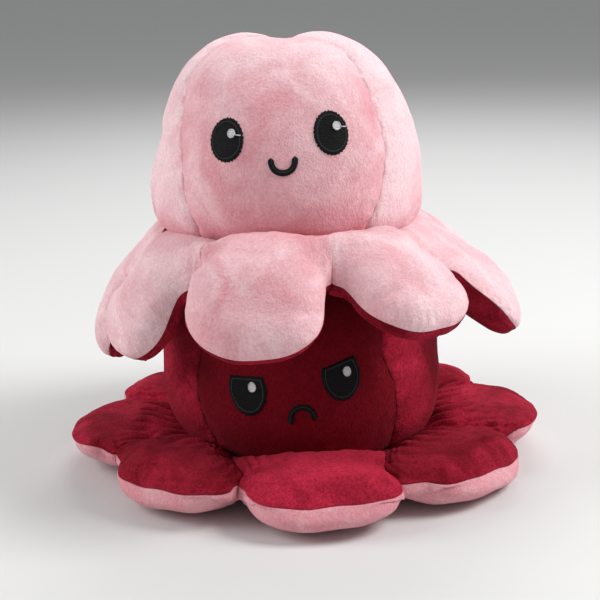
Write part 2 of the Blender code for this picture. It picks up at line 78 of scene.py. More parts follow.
# %% [markdown]
# ## Camera
# The photograph looks down by about 15 degrees from a little over half a metre away, and leans by a degree
# and a half. Seen from that near, the upper toy's face is almost level with the lens while the floor is
# seen from well above, so the distance matters as much as the angle.

# %% Camera
CAMERA_TILT = math.radians(15.3)
CAMERA_ROLL = math.radians(1.5)
AIM = Vector((-0.0012, 0.0, 0.0673))
DISTANCE = 0.585
PIXELS_ACROSS = 600
FOCAL_PIXELS = 1362
SENSOR_WIDTH = 36.0

camera_data = bpy.data.cameras.new("camera")
camera_data.sensor_width = SENSOR_WIDTH
camera_data.lens = SENSOR_WIDTH * FOCAL_PIXELS / PIXELS_ACROSS
camera = bpy.data.objects.new("camera", camera_data)
bpy.context.scene.collection.objects.link(camera)
looking = Vector((0.0, math.cos(CAMERA_TILT), -math.sin(CAMERA_TILT)))
camera.location = AIM - DISTANCE * looking
turned = Euler((math.pi / 2 - CAMERA_TILT, 0.0, 0.0)).to_matrix() @ Matrix.Rotation(-CAMERA_ROLL, 3, "Z")
camera.rotation_euler = turned.to_euler()
bpy.context.scene.camera = camera
bpy.context.scene.view_settings.view_transform = "Standard"
print("lens", round(camera_data.lens, 1), "mm")

# %% [markdown]
# ## Studio
# A pale floor and three wide lamps give soft light from all round, a little stronger from the upper right,
# as in the photograph. Wide lamps leave soft shadows under the skirt and between the tentacles.


# %% Studio
LAMPS_AIM = Vector((0.0, 0.0, 0.08))
FLOOR_DROP = 0.0002


def linear(hex_colour):
    """An sRGB hex colour as the linear values that Blender's sockets take."""
    parts = [int(hex_colour[i : i + 2], 16) / 255.0 for i in (1, 3, 5)]
    return [p / 12.92 if p <= 0.04045 else ((p + 0.055) / 1.055) ** 2.4 for p in parts] + [1.0]


def select_only(*things):
    """Selects these objects and nothing else. The last one becomes the active one."""
    bpy.ops.object.select_all(action="DESELECT")
    for thing in things:
        thing.select_set(True)
    bpy.context.view_layer.objects.active = things[-1]


def primitive(operator, **settings):
    """A new primitive. All else is deselected first, because an operator acts on all that is selected."""
    bpy.ops.object.select_all(action="DESELECT")
    operator(**settings)
    return bpy.context.object


def new_material(name, **sockets):
    """A material with nodes. What is the same all over is set on the shader's own sockets."""
    material = bpy.data.materials.new(name)
    material.use_nodes = True
    for socket, value in sockets.items():
        material.node_tree.nodes["Principled BSDF"].inputs[socket.replace("_", " ")].default_value = value
    return material


def lamp(name, spot, size, power):
    """A square soft lamp that points at the middle of the toys."""
    light = bpy.data.lights.new(name, "AREA")
    light.size = size
    light.energy = power
    holder = bpy.data.objects.new(name, light)
    bpy.context.scene.collection.objects.link(holder)
    holder.location = spot
    holder.rotation_euler = (LAMPS_AIM - Vector(spot)).to_track_quat("-Z", "Y").to_euler()


floor = primitive(bpy.ops.mesh.primitive_plane_add, size=6.0, location=(0.0, 1.5, -FLOOR_DROP))
floor.name = "floor"
bpy.ops.object.transform_apply(location=True, rotation=True, scale=True)
floor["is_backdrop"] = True
floor.data.materials.append(new_material("matt_studio_paper", Base_Color=linear("#D9D9D8"), Roughness=0.95))

world = bpy.data.worlds.new("studio")
bpy.context.scene.world = world
world.use_nodes = True
background = world.node_tree.nodes["Background"].inputs
background["Color"].default_value = linear("#E6E7E8")
background["Strength"].default_value = 0.40

lamp("key", (0.72, -0.12, 0.74), 0.45, 8.6)
lamp("fill", (-0.85, -0.14, 0.55), 0.60, 5.5)
lamp("back", (0.10, 0.80, 0.80), 0.60, 4.0)
print("floor and", len(bpy.data.lights), "lamps")

# %% [markdown]
# ## Plush
# The cloth is short-pile polyester plush: a warp-knitted backing with a cut pile about 1.5 mm long. The pile
# catches light at its edges like velvet, which is what the shader's sheen does, and it can be brushed: where
# it leans towards the eye it looks deep in colour, and where it leans away it looks pale. So a noise of a
# few centimetres, with an attribute of each piece for the way it was brushed and for painted shade and light,
# mixes a deep and a pale colour. A noise of a tuft's size, a little longer down than across because pile
# hangs, paints shade into the gaps between tufts and light on their tips, and raises the bump. A second
# attribute darkens the seams, where the pile parts and the shade of the seam's groove is painted in.


# %% Node helper
def node(tree, kind, settings=None, **links):
    """Adds a shader node. settings holds its properties, and links its inputs by name or number. An input
    is given a value, another node's socket, or the node itself, which stands for its first output."""
    made = tree.nodes.new(kind)
    for name, value in (settings or {}).items():
        setattr(made, name, value)
    for name, value in links.items():
        key = int(name[1:]) if name[0] == "i" and name[1:].isdigit() else name.replace("_", " ")
        value = value.outputs[0] if isinstance(value, bpy.types.Node) else value
        if isinstance(value, bpy.types.NodeSocket):
            tree.links.new(value, made.inputs[key])
        else:
            made.inputs[key].default_value = value
    return made


def cover(tree, colour, height, strength, distance):
    """Leads a pattern into the shader: a socket for its colour, and its height as bump, in metres."""
    bump = node(tree, "ShaderNodeBump", Height=height, Strength=strength, Distance=distance)
    shader = tree.nodes["Principled BSDF"].inputs
    tree.links.new(colour, shader["Base Color"])
    tree.links.new(bump.outputs[0], shader["Normal"])


# %% Plush materials
NAP_PATCH = 0.022
# A real tuft is some 0.3 mm across, too fine to show from here, so tufts are drawn three times as coarse
TUFT = 0.00105
FINE_PILE = 0.0005
PILE_HANG = 0.8
PILE_RELIEF = 0.0008


def plush(name, deep, pale, parted, sheen, sheen_weight, tuft_gap_shade, tuft_tip_light):
    """Short-pile plush with a brushed nap, painted shade in the gaps between its tufts and painted light on
    their tips.
    """
    material = new_material(
        name, Roughness=0.95, Specular_IOR_Level=0.15,
        Sheen_Weight=sheen_weight, Sheen_Roughness=0.4, Sheen_Tint=linear(sheen),
    )
    tree = material.node_tree
    where = node(tree, "ShaderNodeTexCoord").outputs["Object"]
    hung = node(tree, "ShaderNodeMapping", Vector=where, Scale=(1.0, 1.0, PILE_HANG))
    brushed = node(tree, "ShaderNodeAttribute", {"attribute_name": "brushed"}).outputs["Fac"]
    parting = node(tree, "ShaderNodeAttribute", {"attribute_name": "parting"}).outputs["Fac"]
    patch = node(
        tree, "ShaderNodeTexNoise",
        Vector=where, Scale=1.0 / NAP_PATCH, Detail=4.0, Roughness=0.6, Distortion=0.8,
    )
    lean = node(tree, "ShaderNodeMath", {"operation": "ADD"}, i0=patch.outputs["Fac"], i1=brushed)
    nap = node(
        tree, "ShaderNodeMapRange", {"interpolation_type": "SMOOTHSTEP"},
        Value=lean, From_Min=0.62, From_Max=1.38,
    )
    cloth = node(tree, "ShaderNodeMix", {"data_type": "RGBA"}, i0=nap, i6=linear(deep), i7=linear(pale))
    tufts = node(
        tree, "ShaderNodeTexNoise", Vector=hung, Scale=1.0 / TUFT, Detail=2.0, Roughness=0.6, Distortion=0.4
    )
    fine = node(tree, "ShaderNodeTexNoise", Vector=hung, Scale=1.0 / FINE_PILE, Detail=1.0, Roughness=0.5)
    pile = node(
        tree, "ShaderNodeMix", {"data_type": "FLOAT"},
        i0=0.35, i2=tufts.outputs["Fac"], i3=fine.outputs["Fac"],
    )
    # Painted shade in the gaps between tufts and painted light on their tips, following the pile's height
    shade = node(
        tree, "ShaderNodeMapRange",
        Value=pile, From_Min=0.34, From_Max=0.66, To_Min=tuft_gap_shade, To_Max=tuft_tip_light,
    )
    tufted = node(tree, "ShaderNodeVectorMath", {"operation": "SCALE"}, i0=cloth.outputs[2], Scale=shade)
    # The seams take the parted colour: the pile parts there, and the groove's shade is painted in
    sewn = node(tree, "ShaderNodeMix", {"data_type": "RGBA"}, i0=parting, i6=tufted, i7=linear(parted))
    cover(tree, sewn.outputs[2], pile, 0.75, PILE_RELIEF)
    return material


# Each finish is a material, with a slot name that nothing here reads
PINK_PLUSH = (
    plush("pink_short_pile_plush", "#DE939D", "#F8D6DB", "#B9707A", "#FFE4E8", 0.35, 0.85, 1.09), "pink_plush"
)
CRIMSON_PLUSH = (
    plush("crimson_short_pile_plush", "#6C0213", "#C02743", "#1E0206", "#F0506C", 0.12, 0.60, 1.34),
    "crimson_plush",
)
print("made", PINK_PLUSH[0].name, "and", CRIMSON_PLUSH[0].name)

# %% [markdown]
# ## Thread and filling
# The faces are machine embroidery in polyester thread about 0.4 mm thick, whose twist breaks its gloss up.
# The sphere that each patch is made from brings its own UV map, with u round the patch and v from its edge to
# its middle. So a wave in u gives the satin stitches of the border, which run across it, and a wave in object
# space the rows inside. The rows are drawn half as wide again as the thread, or they would not show.


# %% Thread and fibrefill
THREAD = 0.0004
ROW = 1.5 * THREAD
RUNNING_STITCH = 0.009
TWO_PI = 2.0 * math.pi


def thread(name, dark, light, ring, stitches_round, border_share):
    """Polyester embroidery thread. border_share is the UV v at which the border gives way to rows."""
    material = new_material(name, Roughness=0.6, Specular_IOR_Level=0.12)
    tree = material.node_tree
    places = node(tree, "ShaderNodeTexCoord")
    u_v = node(tree, "ShaderNodeSeparateXYZ", Vector=places.outputs["UV"])
    turn = node(tree, "ShaderNodeMath", {"operation": "MULTIPLY"}, i0=u_v, i1=TWO_PI * stitches_round)
    satin = node(tree, "ShaderNodeMath", {"operation": "SINE"}, i0=turn)
    satin_height = node(tree, "ShaderNodeMapRange", Value=satin, From_Min=-1.0, From_Max=1.0)
    rows = node(
        tree, "ShaderNodeTexWave", {"wave_type": "BANDS", "bands_direction": "Z"},
        Vector=places.outputs["Object"], Scale=TWO_PI / (20.0 * ROW), Distortion=9.0, Detail=4.0,
    )
    inside = node(tree, "ShaderNodeMath", {"operation": "GREATER_THAN"}, i0=u_v.outputs[1], i1=border_share)
    height = node(
        tree, "ShaderNodeMix", {"data_type": "FLOAT"}, i0=inside, i2=satin_height, i3=rows.outputs["Fac"]
    )
    # The colour follows the stitch height: painted shade in the hollows between stitches and rows, painted
    # light on their crests
    colour = node(tree, "ShaderNodeMix", {"data_type": "RGBA"}, i0=height, i6=linear(dark), i7=linear(light))
    on_ring = node(
        tree, "ShaderNodeMath", {"operation": "COMPARE"},
        i0=u_v.outputs[1], i1=border_share, i2=RUNNING_STITCH,
    )
    ringed = node(
        tree, "ShaderNodeMix", {"data_type": "RGBA"}, i0=on_ring, i6=colour.outputs[2], i7=linear(ring)
    )
    cover(tree, ringed.outputs[2], height, 0.6, THREAD / 2.0)
    return material


def fibrefill():
    """Siliconised polyester fibrefill, a matt tangle of crimped white fibres."""
    material = new_material("white_polyester_fibrefill", Roughness=1.0)
    tree = material.node_tree
    where = node(tree, "ShaderNodeTexCoord").outputs["Object"]
    tangle = node(
        tree, "ShaderNodeTexNoise", Vector=where, Scale=420.0, Detail=5.0, Roughness=0.7, Distortion=2.0
    ).outputs["Fac"]
    # The colour follows the tangle's height: painted shade in its hollows, paler on its crests
    colour = node(
        tree, "ShaderNodeMix", {"data_type": "RGBA"}, i0=tangle, i6=linear("#CFCCC6"), i7=linear("#F4F2EC")
    )
    cover(tree, colour.outputs[2], tangle, 0.9, 0.0015)
    return material


BLACK_THREAD = (
    thread("black_polyester_embroidery_thread", "#020203", "#1A1B1D", "#3E4143", 104, 0.715), "black_thread"
)
WHITE_THREAD = (
    thread("white_polyester_embroidery_thread", "#B9B9BE", "#E9E9EC", "#C8C8CC", 26, 0.75), "white_thread"
)
FILLING = (fibrefill(), "fibrefill")
print("made", [material.name for material, _ in (BLACK_THREAD, WHITE_THREAD, FILLING)])

# %% [markdown]
# Stuffed fabric is made with Blender's Cloth. The cut and sewn shape is modelled first, a little slack, and
# then blown up: pressure stands in for the fibrefill, the seams are pinned, and the fabric settles between
# them. The solver is tuned for things the size of furniture, so each piece is simulated ten times too big.


# %% Puffing with Cloth
SIM_SCALE = 10.0
SIM_FRAMES = 20
MM = 0.001
SEWN = "sewn"
PLUSH_CLOTH = {
    "quality": 6, "mass": 0.15, "tension_stiffness": 8.0, "compression_stiffness": 8.0,
    "shear_stiffness": 3.0, "bending_stiffness": 0.3, "tension_damping": 8.0, "compression_damping": 8.0,
    "vertex_group_mass": SEWN, "use_pressure": True,
}


def positions(piece, mesh=None):
    """The points of a piece, or of the mesh given for it, as rows of x, y and z."""
    vertices = (mesh or piece.data).vertices
    flat = np.empty(len(vertices) * 3)
    vertices.foreach_get("co", flat)
    return flat.reshape(-1, 3)


def place(piece, points):
    """Moves all points of a piece to the given rows of x, y and z."""
    piece.data.vertices.foreach_set("co", np.asarray(points, float).ravel())
    piece.data.update()


def puff(piece, pinned, pressure, grow, cap):
    """Blows a sewn form up between its pinned points. No point moves further than cap."""
    start = positions(piece)
    place(piece, start * SIM_SCALE)
    group = piece.vertex_groups.new(name=SEWN)
    group.add([int(i) for i in np.flatnonzero(pinned)], 1.0, "REPLACE")
    cloth = piece.modifiers.new("Cloth", "CLOTH")
    for name, value in PLUSH_CLOTH.items():
        setattr(cloth.settings, name, value)
    cloth.settings.uniform_pressure_force = pressure
    cloth.settings.shrink_min = -grow
    cloth.settings.effector_weights.gravity = 0.0
    cloth.collision_settings.use_collision = False
    cloth.point_cache.frame_start = 1
    cloth.point_cache.frame_end = SIM_FRAMES
    for step in range(1, SIM_FRAMES + 1):
        bpy.context.scene.frame_set(step)
    seen = piece.evaluated_get(bpy.context.evaluated_depsgraph_get())
    moved = positions(piece, seen.to_mesh()) / SIM_SCALE - start
    seen.to_mesh_clear()
    piece.modifiers.remove(cloth)
    piece.vertex_groups.remove(group)
    length = np.linalg.norm(moved, axis=1)
    share = np.minimum(1.0, cap / np.maximum(length, 1e-9))
    place(piece, start + moved * share[:, None])
    bpy.context.scene.frame_set(1)
    return float(length.max())


# %% [markdown]
# ## The two toys
# Both are sewn from one pattern, so one set of functions makes both, and a short description says how each
# toy sits: the upper one droops over the lower one's head, and the lower one's crown is pressed flat.
# Lengths are in millimetres here, because that is how a toy's pattern is measured. Directions are in degrees
# round the toy, from its face towards its left side. Dents are where stuffing is short: each is a direction,
# a height, how wide and how tall it is, and its depth.


# %% Sizes of the two toys
NO_LIMIT = 1e6


class Toy(SimpleNamespace):
    """The sizes that differ between the two toys, in millimetres and degrees."""

    def at(self, points):
        """Points in this toy's own millimetres as points of the scene in metres."""
        return np.asarray(points, float) * MM + np.array(self.middle) * MM


GRUMPY = Toy(
    name="grumpy", middle=(0.0, 0.0, 0.0), outside=CRIMSON_PLUSH, inside=PINK_PLUSH,
    # The head: its outline, its seams, its dents and its four panels' tones; the face is deep partly from its
    # nap and mostly from painted shade under the upper toy's skirt
    radius=58.8, wide=38.0, crown=95.0, power=2.6, pressed=90.7,
    seam_heights=(15.0, 28.0, 42.0, 56.0, 70.0),
    right_seam=(-46.0, -48.0, -50.5, -48.0, -51.0), left_seam=(42.5, 41.5, 40.5, 34.5, 36.0), back_turn=-1.5,
    dents=((-75, 14, 40, 9, 1.4), (-40, 20, 14, 9, 1.2), (40, 16, 12, 7, 1.2), (60, 50, 10, 14, 0.6),
           (0, 22, 30, 4, 0.5), (30, 26, 12, 3, 0.6), (-90, 55, 50, 36, -1.6), (90, 55, 50, 36, 2.0)),
    brushed=(0.11, 0.54, 0.4, 0.44), low_brush=-0.02, seam_dark=0.9,
    # The tentacles: one value for each, or for the valley on its left, all round the toy
    directions=(3, 49, 92, 137, 182, 227, 272, 319), droops=(0,) * 8,
    valleys=(23.6, 70.5, 114.5, 159.5, 204.5, 249.5, 295.5, 340.7),
    fold_height=10.0, bends=((-11, 12),) * 8,
    tip_levels=(13.6, 12.5, 15.5, 12.5, 12, 12.5, 14.5, 13.3), valley_levels=(15, 13, 13, 12, 12, 12, 14, 15),
    side_levels=((14, 14), (15, 10), (17, 13), (12, 12), (12, 12), (12, 12), (12, 15.5), (13, 16)),
    half_widths=((28.5, 33), (31, 33), (33, 28), (27, 33), (33, 33), (33, 31), (28, 30), (26, 34)),
    sways=(0, 0, 0, 0, 0, 0, 4, 0), swings=(10, 0, 0, 0, 0, 0, 0, -14), open_over=(8,) * 8,
    reaches=(33.5, 33.5, 36.5, 33.5, 36.0, 34.0, 37.2, 33.0),
    notches=(87, 86, 86, 86, 86, 86, 86, 80), tip_power=2.6,
    webs=(0.75, 0.7, 0.45, 0.8, 0.8, 0.45, 0.6, 0.5), web_from=52.0, smooth_web=0.35,
    puffs=(1.0, 0.60, 0.40, 0.35, 0.35, 0.35, 0.25, 0.95), floor=0.35,
    low_top=(10.0, 10.0, 10.5, 11.0, 12.0, 14.0, 15.0), high_top=(10.0, 11.0, 13.5, 17.3, 19.6, 21.0, 21.5),
    unders=(14,) * 8, under_power=2.2, under_round=0.7, under_reach=16.0,
    bulges=(6.5, 5, 1, 2, 2, 2, 1, 3.2), gather=2.4, root_gathers=(0.3, 1.2, 3.0, 2.6, 1.6, 2.6, 3.4, 1.2),
    ruffles=(0.3, 0.5, 0.5, 0.5, 0.5, 0.5, 0.5, 0.8),
    brushes=(0.60, 0.36, 0.46, 0.45, 0.45, 0.50, 0.50, 0.38), under_brush=0.25,
)
HAPPY = Toy(
    name="happy", middle=(-5.7, 0.0, 91.0), outside=PINK_PLUSH, inside=CRIMSON_PLUSH,
    radius=56.2, wide=29.0, crown=90.7, power=2.35, pressed=NO_LIMIT,
    seam_heights=(17.0, 30.0, 45.0, 65.0, 76.0, 86.0),
    right_seam=(-42.0, -47.5, -52.0, -57.5, -66.0, -72.0), left_seam=(36.0, 44.5, 49.0, 49.0, 48.5, 52.0),
    back_turn=-4.8,
    dents=((-90, 58, 38, 15, 2.2), (-88, 43, 34, 12, 3.2), (88, 55, 42, 26, 1.6), (-32, 16, 5, 6, 0.8),
           (70, 17, 36, 8, -1.4), (-84, 52, 12, 2.2, 0.7), (57, 66, 11, 1.8, 0.7),
           (-30, 62, 16, 2.0, 0.35), (10, 60, 14, 1.6, 0.3), (40, 34, 10, 6, 0.6), (-62, 40, 9, 9, 0.7)),
    brushed=(0.44, 0.72, 0.6, 0.70), low_brush=-0.30, seam_dark=0.6,
    directions=(-11, 33, 76, 122, 168, 215, 262, 305), droops=(46, 26, 43, 47, 55, 66, 72, 62),
    valleys=(15.0, 54.5, 99.0, 145.0, 191.5, 238.5, 289.0, 328.5),
    fold_height=2.25,
    bends=((-8, 14), (-12, 12), (-19, 14), (-16, 14), (-18, 18), (-26, 24), (-33, 23), (-21, 13)),
    tip_levels=(0,) * 8, valley_levels=(1, 2, 0, 0, 0, 0, 0, 0),
    side_levels=((0, 0), (0, 0), (9, 0), (0, 0), (0, 0), (0, 0), (0, 0), (0, 0)),
    half_widths=((25.5, 27.5), (18, 27), (21, 24), (26, 26), (26, 26), (26, 26), (22, 19), (22, 16)),
    sways=(2, 3, 3, 0, 0, 0, 10, 0), swings=(0,) * 8, open_over=(5, 6, 6, 6, 6, 6, 8, 12),
    reaches=(35.0, 36.0, 45.5, 38.0, 38.0, 38.0, 43.0, 34.0),
    notches=(64.5, 69, 71, 71, 71, 71, 70, 62), tip_power=2.2,
    webs=(1.0,) * 8, web_from=60.0, smooth_web=1.0,
    puffs=(1.0, 0.85, 0.18, 0.2, 0.2, 0.1, 0.1, 0.35), floor=-NO_LIMIT,
    low_top=(12.5, 12.5, 11.5, 9.5, 8.0, 7.4, 10.5), high_top=(12.5, 13.0, 14.5, 17.0, 18.5, 15.5, 11.0),
    unders=(9, 10, 12, 9, 9, 9, 9, 11), under_power=2.8, under_round=0.5, under_reach=0.0,
    bulges=(2.5, 2.5, 2, 2, 2, 2, 2, 2), gather=1.4, root_gathers=(0.1,) * 8, ruffles=(0.25,) * 8,
    brushes=(0.46, 0.60, 0.60, 0.60, 0.60, 0.60, 0.66, 0.66), under_brush=0.40,
)
TOYS = (GRUMPY, HAPPY)
print("heads", [(toy.name, toy.crown, "mm high") for toy in TOYS])

# %% [markdown]
# ## Heads
# The head is four panels that meet at the crown. A UV sphere is the natural start, because its meridians
# become the seams. Each of its points is moved on to the head's own profile: a tuck from the skirt out to
# the widest line, and a dome above it. Its columns crowd together at the seams, which are drawn in sharply
# by the thread, then pinned while the panels between them are puffed. Small puckers run off each seam.


# %% Head profile
BASE_RADIUS = 49.0
BASE_HEIGHT = 10.5
CROWN_BACK = 8.0
CROWN_DIP, PIT_RADIUS, DIP_REACH = 4.2, 9.0, 36.0
TUCK_SHARE = 0.24


def smooth(share):
    """0 to 1 with a soft start and end."""
    share = np.clip(share, 0.0, 1.0)
    return share * share * (3.0 - 2.0 * share)


def head_point(toy, angle, direction):
    """A point of the head and its outward normal, in millimetres. Below zero the angle runs down the tuck."""
    sine, cosine = math.sin(direction), math.cos(direction)
    if angle < 0.0:
        swell, fall = toy.radius - BASE_RADIUS, toy.wide - BASE_HEIGHT
        r = BASE_RADIUS + swell * math.cos(angle)
        slope = math.cos(angle) / swell
        out = Vector((slope * sine, -slope * cosine, math.sin(angle) / fall))
        return Vector((r * sine, -r * cosine, toy.wide + fall * math.sin(angle))), out.normalized()
    rise = toy.crown - toy.wide
    share = max(math.cos(angle), 0.0) ** (2.0 / toy.power)
    flat = Vector((toy.radius * share * sine, CROWN_BACK * (1.0 - share) - toy.radius * share * cosine, 0.0))
    out_share = min(flat.length / toy.radius, 1.0)
    up_share = (1.0 - out_share**toy.power) ** (1.0 / toy.power)
    out = flat.normalized() * out_share ** (toy.power - 1.0) / toy.radius
    out.z = up_share ** (toy.power - 1.0) / rise
    from_crown = flat - Vector((0.0, CROWN_BACK, 0.0))
    reach = from_crown.length
    pit = math.exp(-((reach / PIT_RADIUS) ** 2))
    fade = max(0.0, 1.0 - (reach / DIP_REACH) ** 2)
    along = (from_crown.y / reach) ** 2 if reach > 0.0 else 1.0
    flat.z = min(toy.wide + rise * up_share - CROWN_DIP * fade * (pit + (1.0 - pit) * along), toy.pressed)
    return flat, out.normalized()


def profile_angle(share):
    """The angle on the head's profile, at a share of the way from the skirt up to the crown."""
    return (share - TUCK_SHARE) / (TUCK_SHARE if share < TUCK_SHARE else 1.0 - TUCK_SHARE) * math.pi / 2


# %% Seams and dents
PANEL_NAMES = ("face_panel", "left_side_panel", "back_panel", "right_side_panel")
PANEL_EDGES = (-50.0, 50.0, 130.0, 230.0, 310.0)
SEAM_CROWDING = 0.6


def seam_directions(toy, height):
    """Where the four seams run at a height: the two beside the face lean with the way it was stuffed."""
    right = np.interp(height, toy.seam_heights, toy.right_seam)
    left = np.interp(height, toy.seam_heights, toy.left_seam)
    return right, left, 130.0 + toy.back_turn, 230.0 + toy.back_turn, right + 360.0


def column_direction(toy, column, height):
    """The direction of a sphere's column, in degrees, crowded towards the seams."""
    number = max(i for i in range(4) if PANEL_EDGES[i] <= column + 1e-6)
    share = (column - PANEL_EDGES[number]) / (PANEL_EDGES[number + 1] - PANEL_EDGES[number])
    share -= SEAM_CROWDING * math.sin(TWO_PI * share) / TWO_PI
    seams = seam_directions(toy, height)
    return seams[number] + share * (seams[number + 1] - seams[number]), share


def dent_depth(toy, direction, height):
    """How far the short stuffing lets the cloth in at a direction and height."""
    depth = 0.0
    for way, up, across, tall, deep in toy.dents:
        turn = (direction - way + 180.0) % 360.0 - 180.0
        depth += deep * math.exp(-((turn / across) ** 2) - ((height - up) / tall) ** 2)
    return depth


# %% Shaping helpers
def write_attribute(piece, name, values):
    """Writes one value, or one for each point, for the materials to read."""
    attribute = piece.data.attributes.get(name) or piece.data.attributes.new(name, "FLOAT", "POINT")
    attribute.data.foreach_set("value", np.array(np.broadcast_to(values, len(attribute.data)), float))


def edit(piece, operator, **settings):
    """Runs one of edit mode's operators on the whole of a mesh."""
    select_only(piece)
    bpy.ops.object.mode_set(mode="EDIT")
    bpy.ops.mesh.select_all(action="SELECT")
    operator(**settings)
    bpy.ops.object.mode_set(mode="OBJECT")


def sphere(segments, rings):
    """A new UV sphere of radius 1."""
    return primitive(bpy.ops.mesh.primitive_uv_sphere_add, segments=segments, ring_count=rings, radius=1.0)


def bell(distance, width):
    """1 at no distance, falling to almost 0 at twice the width."""
    return math.exp(-((distance / width) ** 2))


# %% Head forms
HEAD_SEGMENTS = 216
HEAD_RINGS = 84
BOTTOM_LATITUDE = -math.pi / 2 + 0.6
PANEL_SPAN = 88.0
# Each is a depth, and how far from the seam or how far apart it reaches
SEAM_PULLS = ((0.8, 1.0), (1.3, 13.0))
SEAM_PUCKER = (0.5, 5.0)
HEAD_LUMP, SMALL_LUMP = (1.1, 26.0), (0.45, 9.0)


def column_of(x, y):
    """The direction of a sphere's point in degrees, counted up from the first panel's edge."""
    return (math.degrees(math.atan2(x, -y)) - PANEL_EDGES[0]) % 360.0 + PANEL_EDGES[0]


def head_form(toy):
    """A sphere moved on to the head's profile, its four seams drawn in."""
    head = sphere(HEAD_SEGMENTS, HEAD_RINGS)
    bottom = (0, 0, math.sin(BOTTOM_LATITUDE))
    edit(head, bpy.ops.mesh.bisect, plane_co=bottom, plane_no=(0, 0, 1), clear_inner=True)
    columns = [column_of(face.center.x, face.center.y) for face in head.data.polygons]
    points, pinned, parted = [], [], []
    for x, y, z in positions(head):
        latitude = math.asin(max(-1.0, min(1.0, z)))
        share = (latitude - BOTTOM_LATITUDE) / (math.pi / 2 - BOTTOM_LATITUDE)
        angle = profile_angle(share)
        column = column_of(x, y)
        height = head_point(toy, angle, 0.0)[0].z
        direction, across = column_direction(toy, column, height)
        point, out = head_point(toy, angle, math.radians(direction))
        away = min(across, 1.0 - across) * PANEL_SPAN
        pucker = 0.5 + 0.5 * math.sin(height * 1.1 + 2.0 * math.sin(height * 0.37 + column))
        drawn = sum(deep * bell(away, reach) for deep, reach in SEAM_PULLS)
        drawn += SEAM_PUCKER[0] * pucker * bell(away, SEAM_PUCKER[1])
        drawn *= 1.0 - 0.75 * max(math.sin(angle), 0.0) ** 8
        lumps = HEAD_LUMP[0] * noise.noise(point / HEAD_LUMP[1] + Vector((toy.radius, 0.0, 0.0)))
        lumps += SMALL_LUMP[0] * noise.noise(point / SMALL_LUMP[1])
        depth = drawn + dent_depth(toy, direction, point.z) - lumps * min(1.0, away / 8.0)
        flat_crown = max(0.0, point.z - toy.pressed + 1.0)
        points.append(point - out * depth * (1.0 if flat_crown == 0.0 else 0.3))
        pinned.append(away < 0.2 or share < 0.005)
        # Painted shade along each seam, where the pile also parts: strongest low on the head, fading towards
        # the crown
        fading = 1.0 - 0.8 * smooth((height / toy.crown - 0.45) / 0.35)
        parted.append(toy.seam_dark * bell(away, 0.5) * fading)
    place(head, toy.at(points))
    write_attribute(head, "parting", parted)
    return head, np.array(pinned), columns


heads = {}
face_columns = {}
for toy in TOYS:
    head, pinned, face_columns[toy.name] = head_form(toy)
    reach = puff(head, pinned, pressure=3.0, grow=0.02, cap=1.0 * MM)
    heads[toy.name] = head
    print(toy.name, "head", len(head.data.vertices), "points, furthest move", round(reach / MM, 2), "mm")

# %% [markdown]
# The head is then cut along its seams into four pieces of cloth. Each copy keeps the faces of one panel, and
# Solidify gives the cloth its thickness on the inside, so the outside stays where it was puffed. A tone for
# each panel is written on its points: the side panels are paler than the face. The tuck near the skirt is
# deepened with painted shade, and the crown paled with painted light.

# %% Head panels
CLOTH_THICKNESS = 1.3
# The tuck's painted shade fades out above a height, and the crown's painted light fades in above a share of
# its height, each over so many millimetres
TUCK_PAINTED_SHADE = (10.0, 22.0)
CROWN_PAINTED_LIGHT = (0.72, 18.0)


def apply(piece, kind, **settings):
    """Adds a modifier to a piece and applies it."""
    modifier = piece.modifiers.new(kind.lower(), kind)
    for name, value in settings.items():
        setattr(modifier, name, value)
    select_only(piece)
    bpy.ops.object.modifier_apply(modifier=modifier.name)


def smooth_faces(piece, degrees):
    """Shades a piece smooth, apart from edges that turn by more than an angle."""
    select_only(piece)
    bpy.ops.object.shade_smooth_by_angle(angle=math.radians(degrees))


def keep_faces(piece, wanted):
    """Deletes the faces of a mesh that are not wanted, one true or false for each."""
    select_only(piece)
    bpy.ops.object.mode_set(mode="EDIT")
    bpy.ops.mesh.select_mode(type="FACE")
    bpy.ops.mesh.select_all(action="DESELECT")
    bpy.ops.object.mode_set(mode="OBJECT")
    piece.data.polygons.foreach_set("select", [not w for w in wanted])
    bpy.ops.object.mode_set(mode="EDIT")
    bpy.ops.mesh.delete(type="FACE")
    bpy.ops.mesh.select_mode(type="VERT")
    bpy.ops.object.mode_set(mode="OBJECT")


def head_panel(toy, number):
    """One of the head's four pieces of cloth."""
    panel = heads[toy.name].copy()
    panel.data = heads[toy.name].data.copy()
    bpy.context.scene.collection.objects.link(panel)
    first, last = PANEL_EDGES[number], PANEL_EDGES[number + 1]
    keep_faces(panel, [first < column < last for column in face_columns[toy.name]])
    heights = (positions(panel)[:, 2] / MM) - toy.middle[2]
    low = 1.0 - smooth((heights - TUCK_PAINTED_SHADE[0]) / TUCK_PAINTED_SHADE[1])
    high = smooth((heights - CROWN_PAINTED_LIGHT[0] * toy.crown) / CROWN_PAINTED_LIGHT[1])
    # The panel's tone, deepened at the tuck with painted shade and paled at the crown with painted light
    write_attribute(panel, "brushed", toy.brushed[number] + toy.low_brush * low + 0.18 * high)
    apply(panel, "SOLIDIFY", thickness=CLOTH_THICKNESS * MM, offset=-1.0)
    smooth_faces(panel, 50.0)
    return panel


def finish_piece(piece, node_name, finish, body=None):
    """Names a piece, gives it its finish and says which plain solid it stands for."""
    material, slot = finish
    piece.name = f"{node_name}.made"
    piece.data.materials.clear()
    piece.data.materials.append(material)
    if body:
        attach(piece, body)
    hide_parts(node_name)


for toy in TOYS:
    for number, panel_name in enumerate(PANEL_NAMES):
        panel = head_panel(toy, number)
        finish_piece(panel, f"{toy.name}_{panel_name}", toy.outside, f"{toy.name}_octopus")
        print(panel.name, len(panel.data.polygons), "faces")

